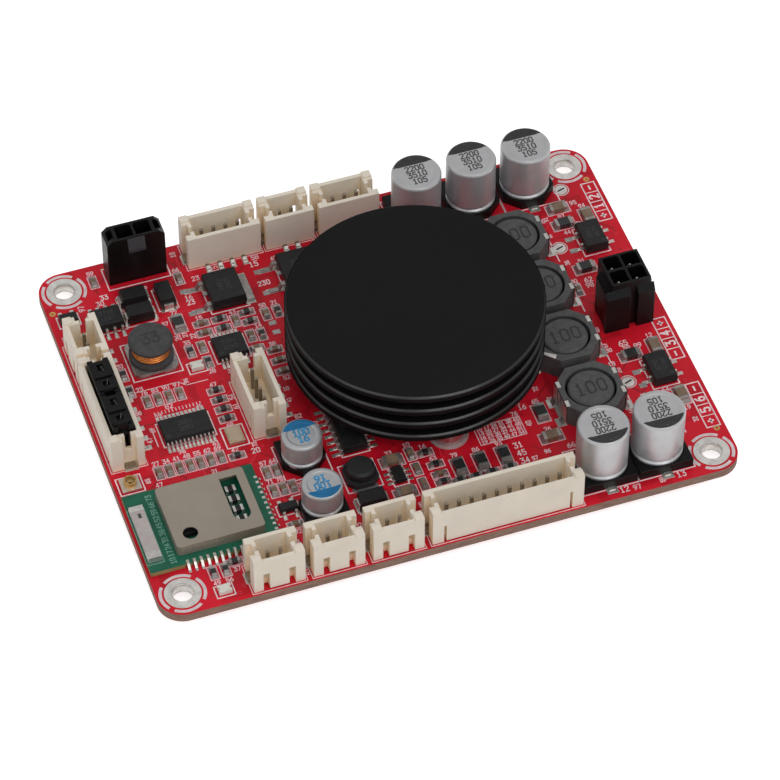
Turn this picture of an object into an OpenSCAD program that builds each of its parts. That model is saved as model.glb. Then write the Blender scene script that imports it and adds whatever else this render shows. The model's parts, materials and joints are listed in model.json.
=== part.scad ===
// Class-D audio amplifier board: a red circuit board with a turned heatsink over
// the amplifier chip, wire sockets along three edges and a small radio module.
// The origin is the centre of the four mounting holes, on the board's underside.

/* [Board] */
// Length of the board
board_w = 92; // [92:0.5:110]
// Depth of the board
board_d = 71.5; // [71.5:0.5:90]
// Thickness of the board
board_t = 1.6; // [1:0.1:2.4]
// Distance of each mounting hole from the two nearest edges
hole_inset = 4; // [3.6:0.1:4.5]
// Diameter of the mounting holes
hole_d = 3.2; // [2.6:0.1:3.6]
// Diameter of the tinned land round each mounting hole
land_d = 5.6; // [4.8:0.1:6]

/* [Heatsink] */
// Diameter of the discs
sink_d = 40; // [36:0.5:42]
// Height of the turned body
sink_h = 10.2; // [9:0.2:13]
// Space between the board and the underside
sink_gap = 4.2; // [4.2:0.1:6]
// Thickness of each of the four discs
disc_t = 1.4; // [0.9:0.1:1.6]
// Depth of the grooves
groove_depth = 2.5; // [1.5:0.25:3.5]
// Distance of each fixing screw from the heatsink's axis
fixing_offset = 15.6; // [13:0.2:16]
// Diameter of the fixing screws
screw_d = 3; // [2:0.5:3]

/* [Wire sockets] */
// Distance between neighbouring contacts
socket_pitch = 2; // [1.8:0.05:2]
// Depth of a socket across its contacts
socket_depth = 5.2; // [5:0.1:5.3]
// Height of a socket above the board
socket_h = 6.9; // [6.2:0.1:8]
// Wall of a socket
socket_wall = 0.65; // [0.5:0.05:0.8]
// Distance from the board's edge to the outer face of an edge socket
socket_margin = 0.6; // [0.3:0.1:1]

/* [Headers] */
// Distance between neighbouring cells of the two black headers
header_pitch = 3; // [2.9:0.05:3.2]
// Height of the headers above the board
header_h = 9.8; // [8:0.2:12]
// Width of each square cell
cell_w = 2.6; // [2.2:0.1:2.7]
// Length of the solder tails below the board
tail_len = 1.5; // [1:0.1:2]

/* [Capacitors] */
// Diameter of the large cans
can_d = 8; // [7:0.1:8.3]
// Height of the large capacitors
can_h = 10; // [8:0.2:13]
// Diameter of the small cans
small_can_d = 6.3; // [5:0.1:6.5]
// Height of the small capacitors
small_can_h = 6; // [4.5:0.1:8]

/* [Inductors] */
// Side of the four output inductors
choke_w = 9.8; // [9:0.1:10.6]
// Height of the output inductors
choke_h = 4; // [3:0.1:4.1]
// Distance between neighbouring output inductors
choke_pitch = 11.25; // [10.9:0.05:11.5]
// Diameter of the drum that shows in an output inductor
drum_d = 7.2; // [6:0.1:8]
// Diameter of the round power inductor
coil_d = 7; // [6:0.1:7.4]
// Height of the round power inductor
coil_h = 4.8; // [4:0.1:6]

/* [Radio module] */
// Length of the module's board
radio_w = 20.5; // [20:0.1:21]
// Depth of the module's board
radio_d = 15.4; // [15:0.1:15.8]
// Thickness of the module's board
radio_t = 0.8; // [0.6:0.1:1.2]
// Length of the shield can
shield_w = 13.8; // [13:0.1:14.2]
// Depth of the shield can
shield_d = 12; // [11.6:0.1:12.4]
// Height of the shield can
shield_h = 2; // [1.6:0.1:2.6]

/* [Hidden] */
$fn = 48;

// Board edges, top face and the two hole positions
edge_x = board_w / 2;
edge_y = board_d / 2;
top = board_t;
hole_x = edge_x - hole_inset;
hole_y = edge_y - hole_inset;
land_t = 0.1;
corner_r = hole_inset;

// Heatsink place, its four discs and the fixing spacers
sink_x = 5.35;
sink_y = 0.1;
discs = 4;
disc_pitch = (sink_h - disc_t) / (discs - 1);
disc_edge = 0.3;
spacer_d = 5;
fixing_depth = 4;
screw_play = 0.2;
screw_grip = 3;
screw_head_d = 5.5;
screw_head_h = 1.6;
screw_head_edge = 0.7;
recess_l = 3;
recess_w = 0.5;
recess_depth = 0.7;

// Amplifier chip under the heatsink, which the thermal pad joins to it
amp_l = 15.8;
amp_w = 11;
amp_h = 3;
pad_l = 14;
pad_w = 10;

// Wire sockets: floor, end room beyond the outer contacts, slots and contacts
socket_floor = 1.2;
socket_end = 3;
front_gap = 1.3;
rear_gap = 0.9;
front_ways = [2, 2, 2, 10];
rear_ways = [4, 2, 3];
front_start = -32;
rear_start = -22;
side_small_y = 16.4;
side_large_y = 2.8;
inner_x = -20.3;
inner_y = -0.9;
post_w = 0.5;
post_h = 5.6;
foot_t = 0.25;
foot_reach = 1.2;
foot_play = 0.05;
tab_w = 1.6;
tab_reach = 0.3;
tab_t = 0.5;
lip_drop = 0.3;
end_block = 1.4;
slot_inset = 2;
slot_h = 3.7;
channel_w = 2.2;
channel_depth = 0.9;
channel_shift = 0.35;
notch_w = 1;
notch_z = 3.4;
wall_relief = 0.2;
side_margin = 0.2;
wide_slot = 1;
narrow_slot = 0.4;

function socket_len(ways) = (ways - 1) * socket_pitch + 2 * socket_end;
function row_start(ways, i, start, gap) =
    i == 0 ? start : row_start(ways, i - 1, start, gap) + socket_len(ways[i - 1]) + gap;
function row_x(ways, i, start, gap) = row_start(ways, i, start, gap) + socket_len(ways[i]) / 2;

front_y = -edge_y + socket_margin + socket_depth / 2;
rear_y = edge_y - socket_margin - socket_depth / 2;
side_x = -edge_x + socket_margin + side_margin + socket_depth / 2;

// Jumper plugs in the large side socket
plug_l = 7;
plug_w = 3.3;
plug_top = 7.8;
plug_ys = [-3.7, 3.5];
plug_channel = 1.2;
plug_play = 0.2;
window_l = 1.4;
window_w = 1;
window_depth = 0.8;
grip_l = 0.4;
grip_w = 1.6;
grip_h = 1.6;

// Black headers: one row of two cells, and two rows of two
header_floor = 1.6;
header_chamfer = 0.9;
cell_corner = 0.35;
pin_w = 0.64;
pin_drop = 2.4;
pin_top = header_h - pin_drop;
power_ends = 6.4;
power_w = header_pitch + power_ends;
power_d = 3.4;
power_x = -30.1;
power_inset = 3.4;
power_y = edge_y - power_inset;
end_groove_l = 0.9;
end_groove_w = 2;
end_groove_h = 3;
latch_w = 2.8;
latch_h = 2.9;
latch_drop = 0.2;
latch_reach = 0.6;
latch_under = 0.3;
latch_face = 0.6;
speaker_w = 2 * header_pitch + 0.4;
speaker_d = 2 * header_pitch + 0.2;
speaker_inset = 6.4;
speaker_x = edge_x - speaker_inset;
speaker_y = -0.3;
rib_reach = 0.8;
rib_drop = 1.2;
front_ribs = [[-2.3, 4], [2.3, 2.8]];
outer_rib = [0, 3.2];
inner_rib = [0.6, 4.4];

// Capacitors: places of the cans, with the way each base faces
rear_can_inset = 6.35;
rear_can_side = 11.8;
rear_can_pitch = 9.2;
front_can_inset = 6.6;
front_can_side = 12;
front_can_pitch = 9;
rear_can_y = edge_y - rear_can_inset;
front_can_y = front_can_inset - edge_y;
front_can_xs = [for (i = [1, 0]) edge_x - front_can_side - i * front_can_pitch];
rear_can_xs = [for (i = [2, 1, 0]) edge_x - rear_can_side - i * rear_can_pitch];
large_cans = concat([for (x = front_can_xs) [x, front_can_y, 180]],
    [for (x = rear_can_xs) [x, rear_can_y, 0]]);
small_cans = [[-17.3, -13, 0], [-17.4, -23.1, 180]];
base_rim = 0.3;
base_floor = 0.9;
base_wall_h = 1.6;
base_corner = 2.4;
can_play = 0.1;
can_tab_w = 1;
can_tab_len = 2.4;
can_tab_reach = 0.6;
can_tab_t = 0.2;
can_edge = 0.4;
can_dish = 0.1;
dish_rim = 0.8;
bead_z = 1.3;
bead_h = 0.8;
bead_depth = 0.3;

// Output inductors
choke_inset = 18.1;
choke_x = edge_x - choke_inset;
choke_ys = [for (i = [0:3]) (i - 1.5) * choke_pitch];
choke_corner = 2.5;
choke_floor = 0.7;
choke_ring = 0.4;
terminal_w = 2.2;
terminal_t = 0.2;
terminal_h = 3.5;
terminal_fork = 0.8;
terminal_root = 1.2;
terminal_foot = 0.6;
drum_edge = 0.25;
drum_flange = 0.9;
drum_waist = 1;
drum_slope = 0.4;

// Round power inductor and the small square one
coil_inset = 13;
coil_x = coil_inset - edge_x;
coil_y = 14;
coil_base_w = coil_d + 0.2;
coil_base_t = 0.7;
coil_base_corner = 1.2;
coil_base_gap = [2.4, 0.25];
coil_flange = 1.2;
coil_flange_rim = 0.8;
coil_edge = 0.35;
coil_waist_r = coil_d / 2 - 1.7;
winding_r = coil_d / 2 - 0.6;
winding_turns = 4;
wire_fill = 0.98;
small_coil = [-10, -19];
small_coil_w = 5;
small_coil_h = 2.6;
small_coil_corner = 1.1;
small_coil_foot = 1;
small_coil_edge = 0.4;
small_coil_inset = 0.7;

// Radio module
radio_margin = 0.45;
radio_x = -edge_x + radio_margin + radio_w / 2;
radio_y = -19.6;
shield_x = radio_x + 1.4;
shield_y = radio_y + 0.1;
shield_wall = 0.25;
shield_corner = 0.6;
shield_slot_w = 2.7;
shield_slot_l = 8.6;
shield_slot_x = shield_w / 2 - 2.7;
shield_slot_y = 0.4;
shield_hole_d = 2.3;
shield_hole = [2.7 - shield_w / 2, 2.2 - shield_d / 2];
radio_pad_d = 0.6;
radio_pad_pitch = 1.05;
radio_pad_count = 9;
radio_pad_start = shield_x - shield_w / 2 + 0.9;
antenna_size = [2.1, 10.3, 1.2];
antenna_x = -edge_x + 1.75;
antenna_y = radio_y - 0.7;
radio_chip = [6, 6, 0.9];
radio_chip_x = -2;
slot_chip = [1.6, 1.1, 0.8];
slot_chip_ys = [-2.6, -0.6, 1.4, 3.4];
coax = [-edge_x + 2.6, -9.4];
coax_base = [3, 2.6, 0.35];
coax_d = 2;
coax_h = 1.25;
coax_wall = 0.25;
coax_pin_d = 0.5;
coax_pin_h = 1.1;

// Packages with leads: x, y, turn, length, width, height, leads a side, lead pitch, lead reach
packages = [[-9.2, -9.5, 90, 9.9, 3.9, 1.7, 8, 1.27, 1.1],
    [8.6 - edge_x, 23.3, 0, 4.9, 3.9, 1.7, 4, 1.27, 1.1],
    [-32.2, -1.6, 0, 7.8, 4.4, 1.2, 12, 0.65, 1],
    [-20.9, 11.9, 0, 5, 4.4, 1.2, 7, 0.65, 1],
    [edge_x - 5.6, 15.2, 90, 5.6, 3.8, 1.9, 2, 2.54, 0.9],
    [edge_x - 5.6, -14.3, 90, 5.6, 3.8, 1.9, 2, 2.54, 0.9],
    [-4.6, -21, 90, 3, 1.8, 1.1, 3, 0.95, 0.6],
    [-22.3, -21.6, 0, 2.9, 1.6, 1.1, 2, 1.9, 0.6],
    [3 - edge_x, 25.6, 0, 2.9, 1.9, 1.1, 2, 1.9, 0.6]];
lead_w = 0.4;
fine_lead_w = 0.28;
lead_t = 0.2;
package_stand = 0.08;
package_draft = 0.15;
amp_leads = 10;
amp_lead_pitch = 1.27;
amp_lead_reach = 1.6;

// Rectifier diodes: x, y, turn
diode_places = [[-32.2, 26.4, 0], [-32.2, 22.8, 0], [-27.4, 25.2, 90], [-10, -24.6, 0]];
diode_l = 4.2;
diode_w = 2.6;
diode_h = 2.1;
diode_strap_w = 1.5;
diode_strap_reach = 0.5;

// Regulators with a metal tab
regulator_places = [[-18.3, 23.2], [-6, 23.6]];
regulator_l = 6.5;
regulator_w = 5.6;
regulator_h = 2.3;
regulator_pitch = 4.56;
regulator_lead_w = 0.8;
regulator_lead_reach = 2.6;
regulator_stub = 0.7;
regulator_tab = [1.4, 5.5, 0.5];

// Chip components in rows: x, y, count, step along x, step along y, turn
lone_chip_inset = 11.4;
capacitor_rows = [[-38.6, -8.6, 7, 1.63, 0, 90], [-36.2, 5.6, 4, 1.75, 0, 90],
    [-23.6, 18.3, 2, 0, -2, 0], [-17, 13.4, 1, 0, 0, 90], [-17, 10.6, 1, 0, 0, 0],
    [-18.3, 17.2, 1, 0, 0, 90], [-13.4, 17, 1, 0, 0, 90], [-23.2, -13.8, 2, 1.5, 0, 90],
    [-23.3, -17.6, 3, 1.5, 0, 90], [-22.2, -24.8, 1, 0, 0, 0], [-1.5, -17.4, 3, 0, -3.1, 90],
    [1.5, -22.6, 1, 0, 0, 0], [-14.4, 9.4, 3, 0, -2.3, 0], [-37.1, 32.2, 1, 0, 0, 90],
    [-24.1, 28.6, 1, 0, 0, 90], [-24.9, 13.6, 1, 0, 0, 90], [edge_x - lone_chip_inset, 5.8, 1, 0, 0, 90]];
resistor_rows = [[-25.6, 4.4, 4, 0, -2, 0], [-20.6, 18.3, 2, 0, -2, 0], [-16.2, 18.3, 2, 0, -2, 0],
    [-15.3, 13.2, 1, 0, 0, 90], [-11.5, 17, 1, 0, 0, 90], [-24.9, 10.4, 1, 0, 0, 90],
    [-26.9, 13.3, 1, 0, 0, 90], [-26.4, -9.2, 1, 0, 0, 0], [-36.6, -29.6, 2, 1.9, 0, 90],
    [1.5, -20.6, 1, 0, 0, 0], [1.5, -24.2, 1, 0, 0, 0], [3.9, -24.8, 3, 2.6, 0, 0],
    [12, -24.8, 1, 0, 0, 0], [0.7, -17.9, 1, 0, 0, 0], [-38.2, 8.4, 2, 0, 3.6, 90],
    [-33, -28.6, 1, 0, 0, 0]];
large_capacitors = [[edge_x - 8.3, 23.3, 0], [edge_x - 4.4, 20.2, 90], [edge_x - 4.4, -9.2, 90],
    [edge_x - 4.2, -19.8, 90], [20, -21.2, 0], [-4.6, -17.9, 0], [-4.6, -24.4, 0]];
large_resistors = [[edge_x - 8.6, 19.8, 0], [edge_x - 8.7, 9.8, 0], [edge_x - 8.6, -9.7, 0],
    [20.1, -16.2, 90], [-27, 19.4, 90], [4.7, -22.3, 90], [8.2, -22.3, 90], [11.9, -22.3, 90]];
small_chip = [1.6, 0.8, 0.6];
small_end = 0.35;
large_chip = [2.8, 1.6, 0.9];
large_end = 0.5;
led_places = [[-36, -33.3], [-26.9, 9.9]];
led_size = [2, 1.4, 0.8];
led_notch_d = 0.5;
crystal_place = [-25.6, -5.3];
crystal_size = [2.5, 3.2, 0.6];
crystal_lid = [2.1, 2.8, 0.2];
crystal_corner = 0.3;

// Colours as seen
board_red = [0.72, 0.1, 0.15];
cream = [0.87, 0.83, 0.76];
tin = [0.75, 0.74, 0.72];
black = [0.11, 0.11, 0.11];
ferrite = [0.27, 0.27, 0.28];
can_grey = [0.78, 0.78, 0.8];

// A plate with rounded corners, centred on the axis
module rounded_plate(w, d, t, r) {
    translate([-w / 2 + r, -d / 2, 0]) cube([w - 2 * r, d, t]);
    translate([-w / 2, -d / 2 + r, 0]) cube([w, d - 2 * r, t]);
    for (x = [-1, 1], y = [-1, 1])
        translate([x * (w / 2 - r), y * (d / 2 - r), 0]) cylinder(r = r, h = t);
}

// A block centred in plan that stands on the board
module block(size) {
    translate([-size[0] / 2, -size[1] / 2, 0]) cube(size);
}

// The four mounting hole positions
module at_holes() {
    for (x = [-1, 1], y = [-1, 1]) translate([x * hole_x, y * hole_y, 0]) children();
}

// The two heatsink fixing positions
module at_fixings() {
    for (s = [-1, 1]) translate([sink_x, sink_y + s * fixing_offset, 0]) children();
}

module circuit_board() {
    color(board_red) difference() {
        rounded_plate(board_w, board_d, board_t, corner_r);
        at_holes() translate([0, 0, -1]) cylinder(d = hole_d, h = board_t + 2);
        at_fixings() translate([0, 0, -1]) cylinder(d = screw_d + screw_play, h = board_t + 2);
        at_power_pins() translate([0, 0, board_t / 2]) cube([pin_w, pin_w, board_t + 2], center = true);
        at_speaker_pins() translate([0, 0, board_t / 2]) cube([pin_w, pin_w, board_t + 2], center = true);
    }
}

module hole_lands() {
    color(tin) at_holes() translate([0, 0, top]) difference() {
        cylinder(d = land_d, h = land_t);
        translate([0, 0, -1]) cylinder(d = hole_d, h = land_t + 2);
    }
}

// Half section of one disc of the turned body, with broken edges
module disc_section() {
    r = sink_d / 2;
    polygon([[0, 0], [r - disc_edge, 0], [r, disc_edge], [r, disc_t - disc_edge],
        [r - disc_edge, disc_t], [0, disc_t]]);
}

module heatsink() {
    color(black) translate([sink_x, sink_y, top + sink_gap]) difference() {
        rotate_extrude($fn = 96) {
            for (i = [0:discs - 1]) translate([0, i * disc_pitch]) disc_section();
            square([sink_d / 2 - groove_depth, sink_h]);
        }
        for (s = [-1, 1]) translate([0, s * fixing_offset, -1])
            cylinder(d = screw_d + screw_play, h = fixing_depth + 1);
    }
}

module heatsink_spacers() {
    color(tin) at_fixings() translate([0, 0, top]) difference() {
        cylinder(d = spacer_d, h = sink_gap);
        translate([0, 0, -1]) cylinder(d = screw_d + screw_play, h = sink_gap + 2);
    }
}

module heatsink_screws() {
    color(tin) at_fixings() {
        cylinder(d = screw_d, h = top + sink_gap + screw_grip);
        translate([0, 0, -screw_head_h]) difference() {
            rotate_extrude() polygon([[0, 0], [screw_head_d / 2 - screw_head_edge, 0],
                [screw_head_d / 2, screw_head_edge], [screw_head_d / 2, screw_head_h], [0, screw_head_h]]);
            for (a = [0, 90]) rotate(a) cube([recess_l, recess_w, 2 * recess_depth], center = true);
        }
    }
}

module amplifier_chip() {
    color(black) translate([sink_x, sink_y, top]) rotate(90) package(amp_l, amp_w, amp_h);
}

module thermal_pad() {
    color([0.6, 0.62, 0.66]) translate([sink_x, sink_y, top + amp_h])
        block([pad_w, pad_l, sink_gap - amp_h]);
}

// Wire sockets, with the slotted wall towards -Y and the contact feet towards +Y

module socket(ways) {
    l = socket_len(ways);
    inner_l = l - 2 * (channel_depth + socket_wall);
    inner_d = socket_depth - 2 * socket_wall;
    slot_w = ways == 2 ? wide_slot : narrow_slot;
    outer = -socket_depth / 2;
    color(cream) difference() {
        block([l, socket_depth, socket_h]);
        translate([0, 0, socket_floor]) block([inner_l, inner_d, socket_h]);
        // Only the ends of the slotted wall stand up to the full height
        translate([-l / 2 - 1, outer + 2 * socket_wall, socket_h - lip_drop])
            cube([l + 2, socket_depth, 2 * lip_drop]);
        translate([0, outer, socket_h - lip_drop])
            block([l - 2 * end_block, 4 * socket_wall + 2, 2 * lip_drop]);
        // Polarising slots of the outer wall, with the wall between them just clear of the board
        for (s = [-1, 1]) translate([s * (l / 2 - slot_inset), outer, -1])
            block([slot_w, 4 * socket_wall, slot_h + 1]);
        translate([0, outer, -1]) block([l - 2 * slot_inset, 4 * socket_wall, 1 + wall_relief]);
        // Channels of the ends, each with a notch above and a solder tab below
        for (s = [-1, 1]) translate([s * l / 2, channel_shift, -1]) {
            block([2 * channel_depth, channel_w, socket_h + 2]);
            translate([0, 0, notch_z + 1]) block([2 * channel_depth + 4 * socket_wall, notch_w, socket_h]);
        }
        // Ways for the contacts
        at_contacts(ways) {
            translate([0, 0, -1]) block([post_w, post_w, socket_floor + 2]);
            translate([-post_w / 2 - foot_play, -post_w / 2, -1])
                cube([post_w + 2 * foot_play, socket_depth, 1 + foot_t + foot_play]);
        }
    }
}

module at_contacts(ways) {
    for (i = [0:ways - 1]) translate([(i - (ways - 1) / 2) * socket_pitch, 0, 0]) children();
}

module contacts(ways) {
    l = socket_len(ways);
    at_contacts(ways) {
        block([post_w, post_w, post_h]);
        translate([-post_w / 2, 0, 0]) cube([post_w, socket_depth / 2 + foot_reach, foot_t]);
    }
    for (s = [-1, 1]) translate([s * (l / 2 - (channel_depth - tab_reach) / 2), channel_shift, 0])
        block([channel_depth + tab_reach, tab_w, tab_t]);
}

module at_front(i) {
    translate([row_x(front_ways, i, front_start, front_gap), front_y, top]) children();
}

module at_rear(i) {
    translate([row_x(rear_ways, i, rear_start, rear_gap), rear_y, top]) rotate(180) children();
}

module at_side(y) {
    translate([side_x, y, top]) rotate(-90) children();
}

module at_inner() {
    translate([inner_x, inner_y, top]) rotate(-90) children();
}

module front_socket_1() { at_front(0) socket(front_ways[0]); }
module front_socket_2() { at_front(1) socket(front_ways[1]); }
module front_socket_3() { at_front(2) socket(front_ways[2]); }
module front_socket_wide() { at_front(3) socket(front_ways[3]); }
module rear_socket_1() { at_rear(0) socket(rear_ways[0]); }
module rear_socket_2() { at_rear(1) socket(rear_ways[1]); }
module rear_socket_3() { at_rear(2) socket(rear_ways[2]); }
module side_socket_small() { at_side(side_small_y) socket(2); }
module side_socket_large() { at_side(side_large_y) socket(7); }
module inner_socket() { at_inner() socket(4); }

module front_contacts() {
    color(tin) for (i = [0:len(front_ways) - 1]) at_front(i) contacts(front_ways[i]);
}

module rear_contacts() {
    color(tin) for (i = [0:len(rear_ways) - 1]) at_rear(i) contacts(rear_ways[i]);
}

module side_contacts() {
    color(tin) {
        at_side(side_small_y) contacts(2);
        at_side(side_large_y) contacts(7);
        at_inner() contacts(4);
    }
}

// Plugs that bridge contacts, with a channel below for the posts
module jumper_plugs() {
    color(black) for (y = plug_ys) at_side(side_large_y + y) difference() {
        translate([0, 0, socket_floor]) block([plug_l, plug_w, plug_top - socket_floor]);
        translate([0, 0, socket_floor - 1])
            block([plug_l + 2, plug_channel, post_h + plug_play - socket_floor + 1]);
        for (s = [-1, 1]) {
            translate([s * plug_l / 4, 0, plug_top - window_depth])
                block([window_l, window_w, 2 * window_depth]);
            translate([s * plug_l / 2, 0, plug_top - grip_h]) block([2 * grip_l, grip_w, 2 * grip_h]);
        }
    }
}

// Headers with closed cells

module at_power_pins() {
    for (s = [-1, 1]) translate([power_x + s * header_pitch / 2, power_y, 0]) children();
}

module at_speaker_pins() {
    for (sx = [-1, 1], sy = [-1, 1])
        translate([speaker_x + sx * header_pitch / 2, speaker_y + sy * header_pitch / 2, 0]) children();
}

// A cell with two chamfered corners, as the plug's keying needs
module cell() {
    c = cell_w / 2;
    k = cell_corner;
    linear_extrude(header_h) polygon([[-c, -c], [c, -c], [c, c - k], [c - k, c], [k - c, c], [-c, c - k]]);
}

module power_header() {
    color(black) difference() {
        union() {
            translate([power_x, power_y + power_d / 2, top]) rotate([90, 0, 0]) linear_extrude(power_d)
                polygon([[-power_w / 2, 0], [power_w / 2, 0], [power_w / 2, header_h - header_chamfer],
                    [power_w / 2 - header_chamfer, header_h], [header_chamfer - power_w / 2, header_h],
                    [-power_w / 2, header_h - header_chamfer]]);
            // Ramp that catches the plug's latch
            translate([power_x - latch_w / 2, power_y - power_d / 2, top + header_h - latch_h - latch_drop])
                rotate([90, 0, 90]) linear_extrude(latch_w)
                    polygon([[0, 0], [-latch_reach, latch_under], [-latch_reach, latch_under + latch_face],
                        [0, latch_h]]);
        }
        at_power_pins() translate([0, 0, top + header_floor]) cell();
        at_power_pins() translate([0, 0, top]) block([pin_w, pin_w, header_h]);
        // Keying grooves of both ends
        for (s = [-1, 1])
            translate([power_x + s * (power_w / 2 - end_groove_l), power_y, top + header_h - end_groove_h])
                block([end_groove_l, end_groove_w, end_groove_h + 1]);
    }
}

module power_pins() {
    color(tin) at_power_pins() translate([0, 0, -tail_len]) block([pin_w, pin_w, top + pin_top + tail_len]);
}

// A rib of the speaker header: stands on the board and slopes off at its top, towards -Y
module header_rib(rib) {
    h = header_h - rib_drop;
    translate([rib[0] - rib[1] / 2, 0, 0]) rotate([90, 0, 90]) linear_extrude(rib[1])
        polygon([[0, 0], [-rib_reach, 0], [-rib_reach, h - 1.5 * rib_reach], [0, h]]);
}

module speaker_header() {
    color(black) translate([speaker_x, speaker_y, top]) difference() {
        union() {
            block([speaker_w, speaker_d, header_h]);
            // Two ribs towards the front, one outwards and one inwards
            for (rib = front_ribs) translate([0, -speaker_d / 2, 0]) header_rib(rib);
            translate([speaker_w / 2, 0, 0]) rotate(90) header_rib(outer_rib);
            translate([-speaker_w / 2, 0, 0]) rotate(-90) header_rib(inner_rib);
        }
        for (sx = [-1, 1], sy = [-1, 1])
            translate([sx * header_pitch / 2, sy * header_pitch / 2, 0]) {
                translate([0, 0, header_floor]) cell();
                block([pin_w, pin_w, header_h]);
            }
    }
}

module speaker_pins() {
    color(tin) at_speaker_pins() translate([0, 0, -tail_len])
        block([pin_w, pin_w, top + pin_top + tail_len]);
}

// Can capacitors: a beaded can in a square base with two chamfered corners

module can(d, h) {
    r = d / 2;
    e = can_edge;
    rim = h - base_floor;
    color(can_grey) translate([0, 0, top + base_floor]) rotate_extrude($fn = 64)
        polygon([[0, 0], [r - e, 0], [r - e / 3, e / 3], [r, e], [r, bead_z - bead_h / 2],
            [r - bead_depth, bead_z - bead_h / 6], [r - bead_depth, bead_z + bead_h / 6],
            [r, bead_z + bead_h / 2], [r, rim - e], [r - e / 3, rim - e / 3], [r - e, rim],
            [r - dish_rim, rim], [r - dish_rim - 2 * can_dish, rim - can_dish], [0, rim - can_dish]]);
}

module can_base(d) {
    h = d / 2 + base_rim;
    c = base_corner;
    color(black) difference() {
        linear_extrude(base_wall_h)
            polygon([[-h, h], [h, h], [h, c - h], [h - c, -h], [c - h, -h], [-h, c - h]]);
        translate([0, 0, base_floor]) cylinder(d = d + 2 * can_play, h = base_wall_h, $fn = 64);
        // Ways for the two tabs
        for (s = [-1, 1]) translate([0, s * h, -1])
            block([can_tab_w, 2 * (can_tab_len - can_tab_reach), 1 + can_tab_t]);
    }
}

module can_tabs(d) {
    h = d / 2 + base_rim;
    color(tin) for (s = [-1, 1]) translate([0, s * (h + can_tab_reach - can_tab_len / 2), 0])
        block([can_tab_w, can_tab_len, can_tab_t]);
}

module at_large_can(i) {
    translate([large_cans[i][0], large_cans[i][1], 0]) rotate(large_cans[i][2]) children();
}

module at_small_can(i) {
    translate([small_cans[i][0], small_cans[i][1], 0]) rotate(small_cans[i][2]) children();
}

module capacitor_can_1() { at_large_can(0) can(can_d, can_h); }
module capacitor_can_2() { at_large_can(1) can(can_d, can_h); }
module capacitor_can_3() { at_large_can(2) can(can_d, can_h); }
module capacitor_can_4() { at_large_can(3) can(can_d, can_h); }
module capacitor_can_5() { at_large_can(4) can(can_d, can_h); }
module small_can_1() { at_small_can(0) can(small_can_d, small_can_h); }
module small_can_2() { at_small_can(1) can(small_can_d, small_can_h); }

module capacitor_bases() {
    for (i = [0:4]) at_large_can(i) translate([0, 0, top]) can_base(can_d);
    for (i = [0:1]) at_small_can(i) translate([0, 0, top]) can_base(small_can_d);
}

module capacitor_tabs() {
    for (i = [0:4]) at_large_can(i) translate([0, 0, top]) can_tabs(can_d);
    for (i = [0:1]) at_small_can(i) translate([0, 0, top]) can_tabs(small_can_d);
}

// Shielded output inductors: an eight-sided block round a drum

module choke(i) {
    h = choke_w / 2;
    c = choke_corner;
    color(ferrite) translate([choke_x, choke_ys[i], top]) difference() {
        linear_extrude(choke_h) polygon([[c - h, -h], [h - c, -h], [h, c - h], [h, h - c],
            [h - c, h], [c - h, h], [-h, h - c], [-h, c - h]]);
        translate([0, 0, choke_floor]) cylinder(d = drum_d + 2 * choke_ring, h = choke_h, $fn = 64);
        for (s = [-1, 1]) translate([s * h, 0, -1])
            block([2 * terminal_t, terminal_w, terminal_h + 1]);
    }
}

module output_inductor_1() { choke(0); }
module output_inductor_2() { choke(1); }
module output_inductor_3() { choke(2); }
module output_inductor_4() { choke(3); }

module inductor_drums() {
    r = drum_d / 2;
    h = choke_h - choke_floor;
    waist_z = drum_flange + drum_slope;
    color(ferrite) for (y = choke_ys) translate([choke_x, y, top + choke_floor])
        rotate_extrude($fn = 64) polygon([[0, 0], [r, 0], [r, drum_flange], [r - drum_waist, waist_z],
            [r - drum_waist, h - waist_z], [r, h - drum_flange], [r, h - drum_edge],
            [r - drum_edge, h], [0, h]]);
}

module inductor_terminals() {
    color(tin) for (y = choke_ys, s = [0, 180])
        translate([choke_x, y, top]) rotate(s) translate([choke_w / 2 - terminal_t, -terminal_w / 2, 0]) {
            // Upright that forks round the end of the winding
            difference() {
                cube([terminal_t, terminal_w, terminal_h]);
                translate([-1, (terminal_w - terminal_fork) / 2, terminal_root])
                    cube([terminal_t + 2, terminal_fork, terminal_h]);
            }
            cube([terminal_t + terminal_foot, terminal_w, terminal_t]);
        }
}

// Round power inductor: an open drum with its copper winding on a tinned base

module power_inductor_base() {
    color(tin) translate([coil_x, coil_y, top]) difference() {
        rounded_plate(coil_base_w, coil_base_w, coil_base_t, coil_base_corner);
        translate([0, 0, -1]) block([coil_base_gap[0], coil_base_w + 2, 1 + coil_base_gap[1]]);
    }
}

module power_inductor_core() {
    r = coil_d / 2;
    h = coil_h - coil_base_t;
    color(ferrite) translate([coil_x, coil_y, top + coil_base_t]) rotate_extrude($fn = 64)
        polygon([[0, 0], [r, 0], [r, coil_flange_rim], [coil_waist_r, coil_flange],
            [coil_waist_r, h - coil_flange], [r, h - coil_flange_rim],
            [r, h - coil_edge], [r - coil_edge, h], [0, h]]);
}

module power_inductor_winding() {
    depth = coil_h - coil_base_t - 2 * coil_flange;
    wire = depth / winding_turns;
    color([0.8, 0.45, 0.2]) translate([coil_x, coil_y, top + coil_base_t + coil_flange])
        rotate_extrude($fn = 64) {
            translate([coil_waist_r, 0]) square([winding_r - coil_waist_r, depth]);
            for (i = [0:winding_turns - 1]) translate([winding_r - wire / 4, (i + 0.5) * wire])
                circle(d = wire * wire_fill, $fn = 16);
        }
}

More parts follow.
